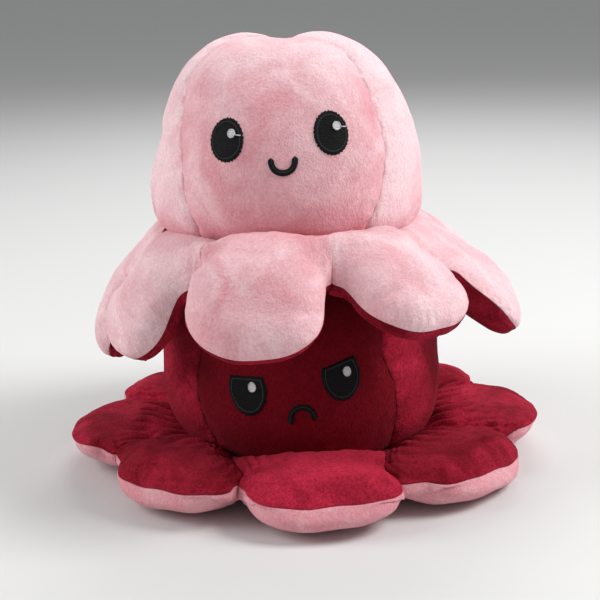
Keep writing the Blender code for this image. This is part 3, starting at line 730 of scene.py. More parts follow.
# %% [markdown]
# ## Inside the heads
# The stuffing fills the head round the tucked-in head, which is why that one keeps its round form. Both are
# turned shapes, so each starts as a sphere whose rings are led along a drawn half outline. The outline of the
# stuffing goes down inside the panels and up again round the pocket. The pocket's goes from its crown down
# the wall, round the lip and out to the skirt, and the slack in its cloth is drawn as soft upright folds.

# %% Stuffing and pocket lining
POCKET_OUTLINE = (
    (0.0, 48.4), (9.0, 47.0), (17.0, 42.2), (22.8, 34.5), (25.0, 25.0), (25.0, 14.0), (24.2, 7.0),
    (24.6, 3.6), (26.4, 1.7), (29.5, 0.9), (34.0, 0.8), (38.6, 0.9),
)
HOLLOW_OUTLINE = (
    (45.0, 12.6), (40.0, 11.4), (33.0, 11.0), (30.0, 13.5), (28.6, 19.0), (28.4, 26.0), (26.6, 36.0),
    (19.5, 45.0), (10.0, 50.4), (0.0, 52.0),
)
HOLLOW_FROM = 0.35
LOWEST_ANGLE = -1.45
STUFFING_DEPTH = 3.5
POCKET_CUT = -0.866
LINING_THICKNESS = 1.4


def along_outline(outline, share):
    """The point at a share of the length of a drawn outline of radius and height."""
    outline = np.array(outline, float)
    steps = np.concatenate([[0.0], np.cumsum(np.hypot(*np.diff(outline, axis=0).T))])
    place_on = np.clip(share, 0.0, 1.0) * steps[-1]
    return np.interp(place_on, steps, outline[:, 0]), np.interp(place_on, steps, outline[:, 1])


def latitude_and_turn(ball):
    """How far up and which way round each point of a unit sphere is, in radians."""
    x, y, z = positions(ball).T
    return np.arcsin(np.clip(z, -1.0, 1.0)), np.arctan2(x, -y)


def turned(radius, turn, height):
    """Points at a distance from the toy's middle, a direction and a height, as x, y and z."""
    return np.stack([radius * np.sin(turn), -radius * np.cos(turn), height], axis=-1)


def stuffing(toy):
    """The fibrefill, led down inside the head and up round the pocket."""
    filling = sphere(96, 72)
    points = []
    for up, direction in zip(*latitude_and_turn(filling)):
        if up > -HOLLOW_FROM:
            angle = profile_angle((up + HOLLOW_FROM) / (math.pi / 2 + HOLLOW_FROM))
            point, out = head_point(toy, max(angle, LOWEST_ANGLE), direction)
            tuft = 0.5 * noise.noise(point / 5.0)
            dent = max(0.0, dent_depth(toy, math.degrees(direction), point.z))
            points.append(point - out * (STUFFING_DEPTH + tuft + dent))
        else:
            inside = along_outline(HOLLOW_OUTLINE, (-HOLLOW_FROM - up) / (math.pi / 2 - HOLLOW_FROM))
            points.append(turned(inside[0], direction, inside[1]))
    place(filling, toy.at(points))
    select_only(filling)
    bpy.ops.object.shade_smooth()
    return filling


def pocket_lining(toy):
    """The other side's head, tucked up inside, as one turned cloth with soft upright folds."""
    lining = sphere(160, 120)
    edit(lining, bpy.ops.mesh.bisect, plane_co=(0, 0, POCKET_CUT), plane_no=(0, 0, 1), clear_inner=True)
    latitude, turn = latitude_and_turn(lining)
    radius, height = along_outline(POCKET_OUTLINE, (math.pi / 2 - latitude) / (math.pi / 2 + math.pi / 3))
    wall = smooth((46.0 - height) / 12.0) * smooth((height - 2.5) / 8.0)
    folds = 0.55 * np.sin(7.0 * turn + 0.8 * np.sin(3.0 * turn)) + 0.3 * np.sin(13.0 * turn + height * 0.06)
    lip = smooth((radius - 26.5) / 3.0) * (1.0 - smooth((radius - 35.0) / 3.0)) * (height < 3.0)
    from_seams = [(np.degrees(turn) - seam + 180.0) % 360.0 - 180.0 for seam in PANEL_EDGES[:4]]
    seams = sum(np.exp(-((away / 3.0) ** 2)) for away in from_seams)
    radius = radius - wall * (folds + 0.9 - 0.7 * seams)
    height = height + lip * (0.30 * np.abs(np.sin(20.0 * turn)) + 0.1)
    place(lining, toy.at(turned(radius, turn, height)))
    write_attribute(lining, "brushed", 0.45 - 0.15 * wall)
    # The seams are darkened where the pile parts, with the groove's shade painted in
    write_attribute(lining, "parting", 0.6 * seams * wall)
    # The cloth's outside faces into the pocket, so its normals are flipped before it gets its thickness
    edit(lining, bpy.ops.mesh.flip_normals)
    apply(lining, "SOLIDIFY", thickness=LINING_THICKNESS * MM, offset=-1.0)
    smooth_faces(lining, 50.0)
    return lining


for toy in TOYS:
    body = f"{toy.name}_octopus"
    finish_piece(stuffing(toy), f"{toy.name}_head_stuffing", FILLING, body)
    finish_piece(pocket_lining(toy), f"{toy.name}_pocket_lining", toy.inside, body)
    print(toy.name, "stuffing and pocket lining made")

# %% [markdown]
# ## Skirt rings
# Between the head and the tentacles the cloth runs round as a narrow ring in each colour. It is tucked away
# under the head, and underneath it shows round the pocket. A torus is cut flat at the seam by pressing its
# other half on to it, and the round half is drawn up in small gathers, as cloth is where it meets a seam.

# %% Skirt ring halves
RING_INNER = 39.0
RING_OUTER = 46.0
RING_GATHERS = 44
RING_GATHER_DEPTH = 0.35
TOP_SEAM, TOP_RISE = 5.2, 4.6
UNDER_SEAM, UNDER_FALL = 4.8, 4.0


def skirt_ring(toy, upper):
    """One colour's half of the ring, gathered on its round side."""
    ring = primitive(
        bpy.ops.mesh.primitive_torus_add, major_radius=(RING_INNER + RING_OUTER) / 2.0,
        minor_radius=(RING_OUTER - RING_INNER) / 2.0, major_segments=264, minor_segments=28,
    )
    x, y, z = positions(ring).T
    turn = np.arctan2(x, -y)
    round_share = np.clip(np.abs(z) / ((RING_OUTER - RING_INNER) / 2.0), 0.0, 1.0)
    gather = RING_GATHER_DEPTH * np.abs(np.sin(RING_GATHERS / 2.0 * turn + 0.7 * np.sin(5.0 * turn)))
    gather = gather * round_share
    if upper:
        height = np.where(z > 0.0, TOP_SEAM + TOP_RISE * round_share**0.6 - gather, TOP_SEAM)
    else:
        height = np.where(z < 0.0, UNDER_SEAM - UNDER_FALL * round_share**0.5 + gather, UNDER_SEAM)
    place(ring, toy.at(turned(np.hypot(x, y), turn, height)))
    write_attribute(ring, "brushed", 0.4)
    smooth_faces(ring, 60.0)
    return ring


for toy in TOYS:
    for part, finish in (("top", toy.outside), ("underside", toy.inside)):
        ring = skirt_ring(toy, part == "top")
        finish_piece(ring, f"{toy.name}_skirt_{part}", finish, f"{toy.name}_octopus")
        print(ring.name, len(ring.data.polygons), "faces")

# %% [markdown]
# ## Tentacles
# A tentacle is two lobes of plush, one of each colour, sewn together round the edge and stuffed. At its
# root it runs in under the head, and its sides meet its neighbours' as far as the notch. A plane grid is the
# flat lobe: its square is drawn out to the cut shape, with its lines crowded at the edge, extruded for the
# side that faces the other colour, and swollen into half a pillow. The lower half bulges out past the seam,
# as the cloth does when a full pillow rests on its face. The pillow is puffed while it is flat. Then it is
# gathered at the notches, and bent down at its fold.

# %% Lobe cut
FOLD_RADIUS = 64.0
ROOT_X = -18.0
PAD_MIDDLE = 14.0
EDGE_CROWDING = 1.35
NEIGHBOUR_OVERLAP = 0.3
GRID = 38
CORNER = math.radians(42.0)
PROFILE_RADII = (46.0, 50.0, 53.5, 56.0, 59.0, 66.0, 85.0)


def at_valley(values, number, side):
    """The value of the valley beside a tentacle. side is -1 or 1, or how far across each point is."""
    return np.where(side > 0.0, values[number], values[number - 1])


def valley_turn(toy, number, side):
    """How many degrees the valley on a tentacle's side runs off its middle line."""
    return (side * (at_valley(toy.valleys, number, side) - toy.directions[number])) % 360.0


def valley_slope(toy, number, x, side):
    """How steeply the valley on a tentacle's side -1 or 1 leaves its middle line. It swings near the head."""
    turn = straight = valley_turn(toy, number, side)
    for _ in range(4):
        radius = (FOLD_RADIUS + x) / np.cos(np.radians(turn))
        turn = straight + side * at_valley(toy.swings, number, side) * (1.0 - smooth((radius - 52.0) / 26.0))
    return np.tan(np.radians(turn))


def notch_x(toy, number, side):
    """Where the two lobes beside a valley part, along the tentacle from its fold."""
    turn = math.radians(valley_turn(toy, number, side))
    return at_valley(toy.notches, number, side) * math.cos(turn) - FOLD_RADIUS


def half_width(toy, number, x, side):
    """How far the lobe's cut edge stands from its middle line: up to the valley, then round the tip."""
    x = np.asarray(x, float)
    room = (FOLD_RADIUS + x) * valley_slope(toy, number, x, side) + NEIGHBOUR_OVERLAP
    tip = toy.reaches[number]
    out_share = np.clip((x - PAD_MIDDLE) / (tip - PAD_MIDDLE), 0.0, 1.0)
    cut = toy.half_widths[number][int(side > 0.0)] * (1.0 - out_share**toy.tip_power) ** (1.0 / toy.tip_power)
    opened = smooth((x - notch_x(toy, number, side)) / toy.open_over[number])
    return room + (np.minimum(cut, room) - room) * opened


def either_side(toy, number, x, y, value):
    """value(toy, number, x, side) with the side that each point is on."""
    return np.where(y > 0.0, value(toy, number, x, 1.0), value(toy, number, x, -1.0))


def lobe_outline(toy, number):
    """The lobe's four edges, each as GRID + 1 points: root, the two sides, and round the tip."""
    steps = crowded(np.linspace(-1.0, 1.0, GRID + 1))
    tip_x, power = toy.reaches[number], toy.tip_power
    corner_x = PAD_MIDDLE + (tip_x - PAD_MIDDLE) * math.cos(CORNER) ** (2.0 / power)
    sides = []
    for side in (-1.0, 1.0):
        x = ROOT_X + (corner_x - ROOT_X) * (steps + 1.0) / 2.0
        sides.append(np.stack([x, side * half_width(toy, number, x, side)], axis=1))
    x = PAD_MIDDLE + (tip_x - PAD_MIDDLE) * np.cos(CORNER * steps) ** (2.0 / power)
    y = np.sign(steps) * either_side(toy, number, x, steps, half_width)
    tip = np.stack([x, y], axis=1)
    root = sides[0][0] + (sides[1][0] - sides[0][0]) * (steps[:, None] + 1.0) / 2.0
    return root, tip, sides[0], sides[1]


def crowded(square):
    """Moves the lines of a square from -1 to 1 towards its edges."""
    return np.sign(square) * (1.0 - (1.0 - np.abs(square)) ** EDGE_CROWDING)


def lobe_cut(toy, number, u, v):
    """Where the unit square's points fall on the lobe. u runs from root to tip, v from side to side."""
    root, tip, low, high = lobe_outline(toy, number)
    steps = (crowded(np.linspace(-1.0, 1.0, GRID + 1)) + 1.0) / 2.0

    def along(edge, share):
        return np.stack([np.interp(share, steps, edge[:, 0]), np.interp(share, steps, edge[:, 1])], axis=1)

    u1, v1 = u[:, None], v[:, None]
    ruled = (1 - v1) * along(low, u) + v1 * along(high, u) + (1 - u1) * along(root, v) + u1 * along(tip, v)
    corners = (
        (1 - u1) * (1 - v1) * low[0] + u1 * (1 - v1) * low[-1] + (1 - u1) * v1 * high[0] + u1 * v1 * high[-1]
    )
    return ruled - corners


print("lobes cut on a grid of", GRID, "by", GRID)

# %% [markdown]
# The height of each half is worked out over the flat cut: first the seam between the two colours, which
# wanders a little, then how far the stuffing lifts or presses the cloth away from it. Beside a valley, where
# the skirt runs on from one tentacle to the next, both neighbours come to the same height.

# %% Lobe form
SEAM_ROOT = 5.0
ROOT_SLOPE_LENGTH = 16.0


def radius_at(x, y):
    """How far a point of the flat lobe is from the toy's middle."""
    return np.hypot(FOLD_RADIUS + x, y)


def parting(toy, number, x, y):
    """0 where a tentacle lies or hangs with its neighbour, rising to 1 where the two are apart."""
    return smooth((radius_at(x, y) - at_valley(toy.notches, number, y)) / 9.0)


def seam_height(toy, number, x, y):
    """Height of the seam between the two colours, over the floor of its toy, before the tentacle is bent."""
    beside = at_valley(toy.valley_levels, number, y)
    own_side = np.where(y > 0.0, toy.side_levels[number][1], toy.side_levels[number][0])
    beside = beside + (own_side - beside) * parting(toy, number, x, y)
    across = np.clip(np.abs(y) / 28.0, 0.0, 1.0)
    outer = toy.tip_levels[number] + (beside - toy.tip_levels[number]) * across
    up_root = smooth((radius_at(x, y) - FOLD_RADIUS + ROOT_SLOPE_LENGTH) / ROOT_SLOPE_LENGTH)
    level = SEAM_ROOT + (outer - SEAM_ROOT) * up_root
    round_tip = np.arctan2(y, x - PAD_MIDDLE + 30.0)
    wander = 0.45 * np.sin(7.0 * round_tip + 1.9 * number) + 0.25 * np.sin(17.0 * round_tip + 0.7 * number)
    return level + wander * smooth((x - 2.0) / 12.0)


def web_share(toy, number, radius, y):
    """1 where the cloth runs on to the next tentacle, falling to 0 where the lobes part."""
    end = at_valley(toy.notches, number, y) + 3.0
    return 1.0 - smooth((radius - toy.web_from) / (end - toy.web_from))


def neighbours(values, number, y):
    """The value of the next tentacle on the side that each point is on."""
    return np.where(y > 0.0, values[(number + 1) % 8], values[number - 1])


def top_height(toy, puffed, radius):
    """How high the stuffing lifts the upper cloth at a distance from the toy's middle."""
    low = np.interp(radius, PROFILE_RADII, toy.low_top)
    high = np.interp(radius, PROFILE_RADII, toy.high_top)
    return low + (high - low) * puffed


def upper_swell(toy, number, x, y, edge_share):
    """Height of the upper cloth over the seam: full in the middle, lower at the valleys and the edge."""
    beside = neighbours(toy.puffs, number, y)
    end = np.sqrt(1.0 - np.clip((x - PAD_MIDDLE) / (toy.reaches[number] - PAD_MIDDLE), 0.0, 1.0) ** 2.6)
    seam = seam_height(toy, number, x, y)
    radius = radius_at(x, y)
    full = (top_height(toy, toy.puffs[number], radius) - seam) * end
    shared = (top_height(toy, (toy.puffs[number] + beside) / 2.0, radius) - seam) * end
    web_height = 1.0 + (at_valley(toy.webs, number, y) - 1.0) * smooth((radius - FOLD_RADIUS + 14.0) / 8.0)
    web = web_share(toy, number, radius, y)
    valley = shared * web_height * web
    web = web * toy.smooth_web
    round_side = np.sqrt(np.clip(1.0 - edge_share**3.0, 0.0, 1.0))
    smooth_side = 0.5 + 0.5 * np.cos(math.pi * edge_share**1.6)
    return valley + (full - valley) * (round_side * (1.0 - web) + smooth_side * web)


def under_swell(toy, number, x, y, side_share, out_share):
    """Depth of the lower cloth under the seam: round at the sides, and fuller at the tip."""
    full = toy.unders[number] * smooth((x + 24.0) / 22.0)
    inner = (1.0 - side_share**toy.under_power) ** toy.under_round * (1.0 - out_share**4.0) ** 0.5
    web = web_share(toy, number, radius_at(x, y) - toy.under_reach, y) ** 1.5
    return full * (inner + (0.72 - 0.72 * inner) * web)


def under_bulge(toy, number, points, seam, x, y):
    """Lets the lower cloth bulge out past the seam, as far as its toy's stuffing presses it."""
    fullness = np.clip((seam - points[:, 2]) / toy.unders[number], 0.0, 1.0)
    out = toy.bulges[number] * 4.0 * fullness * (1.0 - fullness) * smooth((x - 2.0) / 12.0)
    out *= 1.0 - 0.7 * np.clip(np.abs(y) / 30.0, 0.0, 1.0) ** 2
    away = np.stack([np.maximum(x - PAD_MIDDLE, 0.0) ** 1.6 / 11.0**1.6, y / 24.0], axis=1)
    away /= np.maximum(np.linalg.norm(away, axis=1), 1e-6)[:, None]
    moved = points.copy()
    moved[:, :2] += away * out[:, None]
    moved[:, 2] = np.maximum(moved[:, 2], toy.floor)
    return moved


print("stuffing profiles at", len(PROFILE_RADII), "distances from the middle")

# %% [markdown]
# A plush skirt is never quite smooth: the cloth is gathered where it is sewn to the head and drawn together
# at the notches. These creases are too fine for the grid that is puffed, so their depth is only written as
# a function here, and they are pressed into the finished mesh along its normals.

# %% Lobe gathers
NOTCH_CREASE, VALLEY_RUFFLE, RIM_PUCKER = 15.0, 11.0, 0.5
UNDER_GATHERS = 0.45


def gather_depth(toy, number, x, y, rim_share):
    """Creases that fan out from the notches into the lobe, and puckers along the free seam."""
    depth = np.zeros_like(x)
    for side in (-1.0, 1.0):
        notch = notch_x(toy, number, side)
        edge = float(half_width(toy, number, np.array([notch]), side)[0])
        dx, dy = x - notch, side * edge - y
        away = np.hypot(dx, dy)
        turn = np.arctan2(dx, side * dy)
        crease = 1.0 - np.sqrt(np.abs(np.sin(turn * 3.1 + 1.3 * number + side)))
        depth += 0.6 * toy.gather * crease * np.exp(-((away / NOTCH_CREASE) ** 2)) * (away / (away + 2.0))
        beside = np.clip((FOLD_RADIUS + x) * valley_slope(toy, number, x, side) - side * y, 0.0, 60.0)
        waves = math.pi * beside / (3.6 + 0.05 * beside) + 0.8 * np.sin(0.16 * x + number)
        ridge = 1.0 - np.abs(np.sin(waves))
        along = smooth((x + 12.0) / 8.0) * (1.0 - smooth((x - notch + 2.0) / 12.0))
        share = at_valley(toy.ruffles, number, side)
        depth += toy.gather * share * ridge * along * np.exp(-((beside / VALLEY_RUFFLE) ** 2))
    near_root = smooth((x - ROOT_X - 2.0) / 5.0) * (1.0 - smooth((x - ROOT_X - 19.0) / 11.0))
    line = y + 1.2 * np.sin(0.30 * x + number) + 0.6 * np.sin(0.7 * y)
    depth += toy.root_gathers[number] * near_root * (0.5 + 0.5 * np.cos(0.8 * line + 2.1 * number)) ** 2.5
    round_tip = np.arctan2(y, x - PAD_MIDDLE + 8.0)
    pucker = 0.5 + 0.5 * np.sin(round_tip * 34.0 + 3.0 * np.sin(round_tip * 5.0 + number))
    free = smooth((x - 6.0) / 10.0)
    return depth + RIM_PUCKER * pucker * free * np.exp(-((1.0 - rim_share) / 0.12) ** 2)


def press_gathers(toy, number, half, upper):
    """Presses the creases and puckers into a finished half, along its normals, then drops the flat map."""
    x, y, rim, sheet = (np.empty(len(half.data.vertices)) for _ in range(4))
    for name, values in (("flat_x", x), ("flat_y", y), ("rim", rim), ("sheet", sheet)):
        half.data.attributes[name].data.foreach_get("value", values)
        half.data.attributes.remove(half.data.attributes[name])
    rim = np.clip(rim, 0.0, 1.0)
    strength = 1.0 if upper else UNDER_GATHERS
    folds = gather_depth(toy, number, x, y, rim) * (1.0 - rim**14) * (sheet > 0.99) * strength
    normals = np.array([vertex.normal for vertex in half.data.vertices])
    place(half, positions(half) - normals * folds[:, None] * MM)


print("root gathers", round(TWO_PI / 0.8, 1), "mm apart")

# %% [markdown]
# The flat tentacle is bent about a line across its root, turn by turn, so that its length stays what was
# cut. Up to the notches the skirt is one cloth, so there it hangs like a cone all round the toy, and past
# them each tentacle hangs for itself.

# %% Lobe bend
BEND_STEPS = 40


def shared_value(toy, number, x, y, edge_share, values):
    """A tentacle's own value, which beside a valley becomes the mean of the two neighbours'."""
    shared = smooth(edge_share) * (1.0 - parting(toy, number, x, y))
    return values[number] + (neighbours(values, number, y) - values[number]) / 2.0 * shared


def bend(toy, number, points, edge_share):
    """Lets a flat tentacle hang: with the whole skirt up to the notches, and then for itself."""
    x, y, z = points.T
    y = y + toy.sways[number] * smooth((x - 2.0) / 40.0)
    droop, bend_start, bend_end = (
        shared_value(toy, number, x, y, edge_share, values)
        for values in (np.radians(toy.droops), *np.array(toy.bends, float).T)
    )
    parted = parting(toy, number, x, y)
    outward = radius_at(x, y) - FOLD_RADIUS
    along = outward + (x - outward) * parted
    steps = (np.arange(BEND_STEPS)[:, None] + 0.5) / BEND_STEPS
    turns = droop * smooth((ROOT_X + (along - ROOT_X) * steps - bend_start) / (bend_end - bend_start))
    turn = droop * smooth((along - bend_start) / (bend_end - bend_start))
    over = z - toy.fold_height
    far = ROOT_X + (along - ROOT_X) * np.cos(turns).mean(axis=0) + over * np.sin(turn)
    height = toy.fold_height - (along - ROOT_X) * np.sin(turns).mean(axis=0) + over * np.cos(turn)
    spoke = np.arctan2(y, FOLD_RADIUS + x)
    ringed = (FOLD_RADIUS + far) * np.cos(spoke) - FOLD_RADIUS
    across = (FOLD_RADIUS + far) * np.sin(spoke) * (1.0 - parted) + y * parted
    far = ringed + (far - ringed) * parted
    room = (FOLD_RADIUS + far) * either_side(toy, number, x, y, valley_slope) + NEIGHBOUR_OVERLAP
    across = np.clip(across, -room, room)
    return np.stack([far, across, height], axis=1)


print("bends worked out in", BEND_STEPS, "steps")

# %% [markdown]
# Now one half is made from its grid: cut, swollen, puffed, made a little lumpy and bent. The lumps are read
# from a noise in the toy's own space, so they run on over a valley from one tentacle to the next.

# %% Tentacle halves
SEAM_GAP = 0.12
LEAST_SWELL = 0.3
LUMP_SIZE, LUMP_HEIGHT, UPPER_LUMPS = 11.0, 0.9, 9.0
TENTACLE_PRESSURE, TENTACLE_SLACK, FURTHEST_PUFF = 4.0, 0.03, 1.6


def tentacle_half(toy, number, upper):
    """One colour's half of a tentacle, as a closed body in its own millimetres, bent at its fold."""
    sign = 1.0 if upper else -1.0
    half = primitive(bpy.ops.mesh.primitive_grid_add, x_subdivisions=GRID, y_subdivisions=GRID, size=2.0)
    edit(half, bpy.ops.mesh.extrude_region_move, TRANSFORM_OT_translate={"value": (0.0, 0.0, sign)})
    square = positions(half)
    sheet = np.abs(square[:, 2]) > 0.5
    rim = np.maximum(np.abs(square[:, 0]), np.abs(square[:, 1])) > 0.999
    sx, sy = crowded(np.clip(square[:, 0], -1.0, 1.0)), crowded(np.clip(square[:, 1], -1.0, 1.0))
    x, y = lobe_cut(toy, number, (sx + 1.0) / 2.0, (sy + 1.0) / 2.0).T
    edge = np.maximum(either_side(toy, number, x, y, half_width), 1e-6)
    edge_share = np.clip(np.abs(y) / edge, 0.0, 1.0)
    rim_share = np.clip((np.abs(sy) ** 6 + np.maximum(sx, 0.0) ** 6) ** (1.0 / 6.0), 0.0, 1.0)
    seam = seam_height(toy, number, x, y) + sign * SEAM_GAP
    if upper:
        swell = upper_swell(toy, number, x, y, edge_share)
    else:
        swell = under_swell(toy, number, x, y, np.abs(sy), np.maximum(sx, 0.0))
    flat = np.stack([x, y, np.where(sheet, seam + sign * np.maximum(swell, LEAST_SWELL), seam)], axis=1)
    place(half, flat * MM)
    reach = puff(half, ~sheet | rim, pressure=TENTACLE_PRESSURE, grow=TENTACLE_SLACK, cap=FURTHEST_PUFF * MM)
    web = web_share(toy, number, radius_at(x, y), y) * toy.smooth_web
    points = flat + (positions(half) / MM - flat) * (1.0 - web * edge_share**2)[:, None]
    spoke = np.arctan2(y, FOLD_RADIUS + x) + math.radians(toy.directions[number])
    spread = radius_at(x, y) / LUMP_SIZE
    lump_points = zip(spread * np.sin(spoke), spread * np.cos(spoke), np.full_like(x, UPPER_LUMPS * upper))
    lumps = sign * LUMP_HEIGHT * np.array([noise.noise(Vector(point)) for point in lump_points])
    points[:, 2] += np.where(sheet, lumps * (1.0 - (1.0 - web) * rim_share**4), 0.0)
    if not upper:
        points = under_bulge(toy, number, points, seam, x, y)
    # Each tentacle's upper cloth has a tone of its own, deeper or paler, and all the under cloth shares one
    write_attribute(half, "brushed", toy.brushes[number] if upper else toy.under_brush)
    for name, values in (("flat_x", x), ("flat_y", y), ("rim", rim_share), ("sheet", sheet * 1.0)):
        write_attribute(half, name, values)
    return half, bend(toy, number, points, edge_share), reach


def set_down(toy, number, half, points):
    """Turns a tentacle to its direction and sets it at its toy's skirt."""
    turn = math.radians(toy.directions[number])
    sine, cosine = math.sin(turn), math.cos(turn)
    axes = np.array([(sine, -cosine, 0.0), (cosine, sine, 0.0), (0.0, 0.0, 1.0)])
    place(half, toy.at((points + (FOLD_RADIUS, 0.0, 0.0)) @ axes))


print("a half starts as", 2 * GRID * GRID, "squares")

# %% [markdown]
# Subdividing would round the seam away, so the edges where the two sheets of a half meet are creased first.
# Each half then rides on two bodies: the head up to the start of its fold, and the tentacle from its end.

# %% Tentacles
FOLD_START = 12.0
FOLD_END = 13.0
RIM_TURN = 0.35


def crease_rim(half):
    """Keeps the seam a crisp line when the body is subdivided."""
    attributes = half.data.attributes
    crease = attributes.get("crease_edge") or attributes.new("crease_edge", "FLOAT", "EDGE")
    normals = [face.normal.copy() for face in half.data.polygons]
    beside = {}
    for face in half.data.polygons:
        for key in face.edge_keys:
            beside.setdefault(key, []).append(normals[face.index])
    pairs = [beside[edge.key] for edge in half.data.edges]
    crease.data.foreach_set("value", [float(len(n) == 2 and n[0].dot(n[1]) < RIM_TURN) for n in pairs])


def fold_ends(toy, number):
    """The two ends of the stretch over which the cloth turns when its tentacle is lifted."""
    turn, droop = math.radians(toy.directions[number]), math.radians(toy.droops[number])
    start = turned(FOLD_RADIUS - FOLD_START, turn, toy.fold_height)
    far, fall = FOLD_END * math.cos(droop), FOLD_END * math.sin(droop)
    end = turned(FOLD_RADIUS + far, turn, toy.fold_height - fall)
    return tuple(toy.at(start)), tuple(toy.at(end))


for toy in TOYS:
    furthest = 0.0
    for number in range(8):
        tentacle = f"{toy.name}_tentacle_{number + 1}"
        start, end = fold_ends(toy, number)
        for part, finish in (("top", toy.outside), ("underside", toy.inside)):
            half, points, reach = tentacle_half(toy, number, part == "top")
            furthest = max(furthest, reach)
            crease_rim(half)
            set_down(toy, number, half, points)
            apply(half, "SUBSURF", levels=1, render_levels=1)
            edit(half, bpy.ops.mesh.normals_make_consistent, inside=False)
            press_gathers(toy, number, half, part == "top")
            smooth_faces(half, 55.0)
            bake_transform(half, f"{toy.name}_octopus", tentacle, start=start, end=end)
            finish_piece(half, f"{tentacle}_{part}", finish)
    print(toy.name, "tentacles puffed by up to", round(furthest / MM, 2), "mm")

# %% [markdown]
# ## Embroidery
# Each eye is a patch of dense stitching with a raised satin border, and a ring of running stitch where the
# border meets the filling. It starts as a sphere: its upper half becomes the stitched face, its lower half
# the back, and its equator the patch's edge, a little ragged as stitches end in pile. The points are laid on
# the head by casting rays at it. The glints are small round patches on top, and the upper toy's still have
# the short end of white thread that was never trimmed.

# %% Laying patches on a face
GRUMPY.face = SimpleNamespace(
    turn=-4.3, tilt=8.5, level=49.2, spacing=19.0, eye=(16.0, 21.6), mouth=33.0, mouth_depth=6.6,
    glint_up=0.9, glint_tall=1.25, smiles=False,
)
HAPPY.face = SimpleNamespace(
    turn=-1.9, tilt=2.4, level=54.4, spacing=21.2, eye=(14.6, 16.4), mouth=47.4, mouth_depth=6.0,
    glint_up=2.4, glint_tall=1.0, smiles=True,
)


def face_surface(toy):
    """The face panel as a tree that rays can be cast at."""
    panel = bpy.data.objects[f"{toy.name}_face_panel.made"]
    return BVHTree.FromObject(panel, bpy.context.evaluated_depsgraph_get())


def on_face(toy, surface, across, up, lift):
    """A point over the face. across and up are millimetres from the middle between the eyes."""
    tilt = math.radians(toy.face.tilt)
    side = across * math.cos(tilt) - up * math.sin(tilt)
    rise = across * math.sin(tilt) + up * math.cos(tilt)
    direction = math.radians(toy.face.turn) + side / toy.radius
    outward = Vector((math.sin(direction), -math.cos(direction), 0.0))
    start = Vector(toy.at([0.0, 0.0, toy.face.level + rise])) + outward * 0.2
    hit, normal, _, _ = surface.ray_cast(start, -outward)
    return hit + normal * (lift * MM)


# %% Stitched patches and lines
LID_SHARE = 0.50
LID_SLOPE = math.radians(7.0)
BORDER_MIDDLE, BORDER_WIDTH = 0.91, 0.065
RING_WIDTH, RING_STITCHES = 0.022, 34.0
PATCH_BACK = 0.35


def stitched_patch(toy, surface, outline, middle, edge_ring, rise, segments=208, rings=40):
    """A patch over an outline given by a function of the turn, as across and up in millimetres."""
    patch = sphere(segments, rings)
    points = []
    for up, t in zip(*latitude_and_turn(patch)):
        share = math.cos(up) ** 0.8
        stitch_ends = 0.020 * math.sin(t * 47.0 + 2.0 * math.sin(t * 9.0)) + 0.012 * math.sin(t * 29.0)
        edge = Vector(outline(t)) - middle
        across, level = middle + edge * share * (1.0 + stitch_ends * share**12)
        if up > 0.0:
            border = bell(share - BORDER_MIDDLE, BORDER_WIDTH)
            stitches = bell(share - edge_ring, RING_WIDTH) * (0.5 + 0.5 * math.sin(t * RING_STITCHES))
            height = rise * (0.62 * (1.0 - share**14) + 0.38 * border + 0.30 * stitches)
        else:
            height = -PATCH_BACK * (1.0 - share**6)
        points.append(on_face(toy, surface, across, level, height))
    place(patch, points)
    select_only(patch)
    bpy.ops.object.shade_smooth()
    return patch


def eye_outline(toy, side):
    """The eye's edge by its turn: an oval, cut by a slanting lid on the grumpy toy."""
    face = toy.face
    width, height = face.eye

    def edge(t):
        x, y = width / 2.0 * math.sin(t), -height / 2.0 * math.cos(t)
        if not face.smiles:
            y = min(y, height / 2.0 * LID_SHARE + x * math.tan(LID_SLOPE))
        return side * face.spacing + side * x, y

    return edge


def stitched_line(toy, surface, route, width, rise, steps):
    """A raised line of satin stitch along a route, made from a grid rolled into a tube."""
    line = primitive(bpy.ops.mesh.primitive_grid_add, x_subdivisions=steps, y_subdivisions=16, size=2.0)
    points = []
    for gx, gy, _ in positions(line):
        share = (gx + 1.0) / 2.0
        around = math.pi * gy
        centre = Vector(route(share))
        ahead = Vector(route(min(share + 0.01, 1.0))) - Vector(route(max(share - 0.01, 0.0)))
        beside = Vector((-ahead.y, ahead.x)).normalized()
        taper = min(1.0, 10.0 * min(share, 1.0 - share) * steps / 16.0) ** 0.5
        ragged = 1.0 + 0.05 * math.sin(share * steps * 2.1)
        across = centre + beside * (width / 2.0 * taper * ragged * math.cos(around))
        height = rise * taper * math.sin(around) * (1.0 if math.sin(around) > 0.0 else PATCH_BACK)
        points.append(on_face(toy, surface, across.x, across.y, height))
    place(line, points)
    edit(line, bpy.ops.mesh.remove_doubles, threshold=0.00001)
    edit(line, bpy.ops.mesh.normals_make_consistent, inside=False)
    bpy.ops.object.shade_smooth()
    return line


# %% [markdown]
# The pieces of each face are laid out from the middle between its eyes, in millimetres, and leaned by a few
# degrees with the face. The frowning mouth is the smiling one turned over.

# %% Eyes, glints and mouths
EMBROIDERY_RISE = 0.75
GLINT_ACROSS = 2.4
GLINT_RADIUS = 1.7
GLINT_RISE = 1.35
MOUTH_ACROSS = 1.0
MOUTH_WIDTH = 9.3
MOUTH_STROKE = 2.4


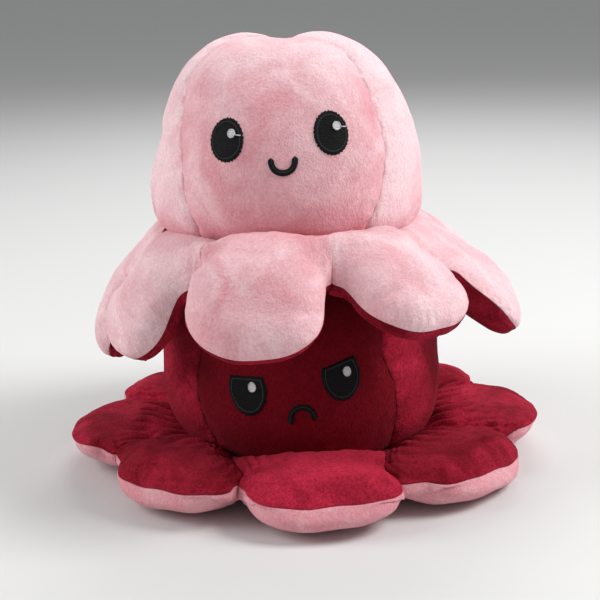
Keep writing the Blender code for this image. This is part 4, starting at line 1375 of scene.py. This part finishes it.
def eye_and_glint(toy, surface, side):
    """One eye, and the white glint that is stitched on it."""
    face = toy.face
    outline = eye_outline(toy, side)
    middle = sum((Vector(outline(TWO_PI * i / 40)) for i in range(40)), Vector((0.0, 0.0))) / 40
    eye = stitched_patch(toy, surface, outline, middle, 0.80, EMBROIDERY_RISE)
    spot = Vector((side * face.spacing + GLINT_ACROSS, face.glint_up))
    r = GLINT_RADIUS
    glint = stitched_patch(
        toy, surface, lambda t: (spot.x + r * math.sin(t), spot.y - face.glint_tall * r * math.cos(t)),
        spot, 0.5, GLINT_RISE, segments=72, rings=20,
    )
    if face.smiles:
        tail = stitched_line(
            toy, surface, lambda s: (spot.x + r * 0.8 + 2.7 * s, spot.y - 0.3 - 0.9 * s + 0.5 * s * s),
            0.5, 1.25, 24,
        )
        select_only(tail, glint)
        bpy.ops.object.join()
    return eye, glint


def mouth_line(toy, surface):
    """The mouth as one stroke: a bow that opens upwards on the smiling toy, and down on the other."""
    bow = -1.0 if toy.face.smiles else 1.0
    level = toy.face.mouth - toy.face.level
    return stitched_line(
        toy, surface,
        lambda s: (MOUTH_ACROSS + MOUTH_WIDTH / 2.0 * math.cos(math.pi * (1.0 - s)),
                   level + bow * toy.face.mouth_depth * math.sin(math.pi * s) ** 0.7),
        MOUTH_STROKE, EMBROIDERY_RISE * 1.2, 64,
    )


for toy in TOYS:
    surface = face_surface(toy)
    body = f"{toy.name}_octopus"
    for side_name, side in (("right", -1.0), ("left", 1.0)):
        eye, glint = eye_and_glint(toy, surface, side)
        finish_piece(eye, f"{toy.name}_{side_name}_eye", BLACK_THREAD, body)
        finish_piece(glint, f"{toy.name}_{side_name}_eye_glint", WHITE_THREAD, body)
    finish_piece(mouth_line(toy, surface), f"{toy.name}_mouth", BLACK_THREAD, body)
    print(toy.name, "face embroidered")

# %% [markdown]
# ## Finish
# The whole heads were only forms for cutting the panels from, so they go. The sizes of the plain model and of
# the finished one are written side by side, to see that the cloth stands proud of its solids by little.

# %% Finish
for form in heads.values():
    bpy.data.objects.remove(form)


visual_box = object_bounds()


print("size", [[round(v / MM, 1) for v in corner] for corner in (*cad_box, *visual_box)])
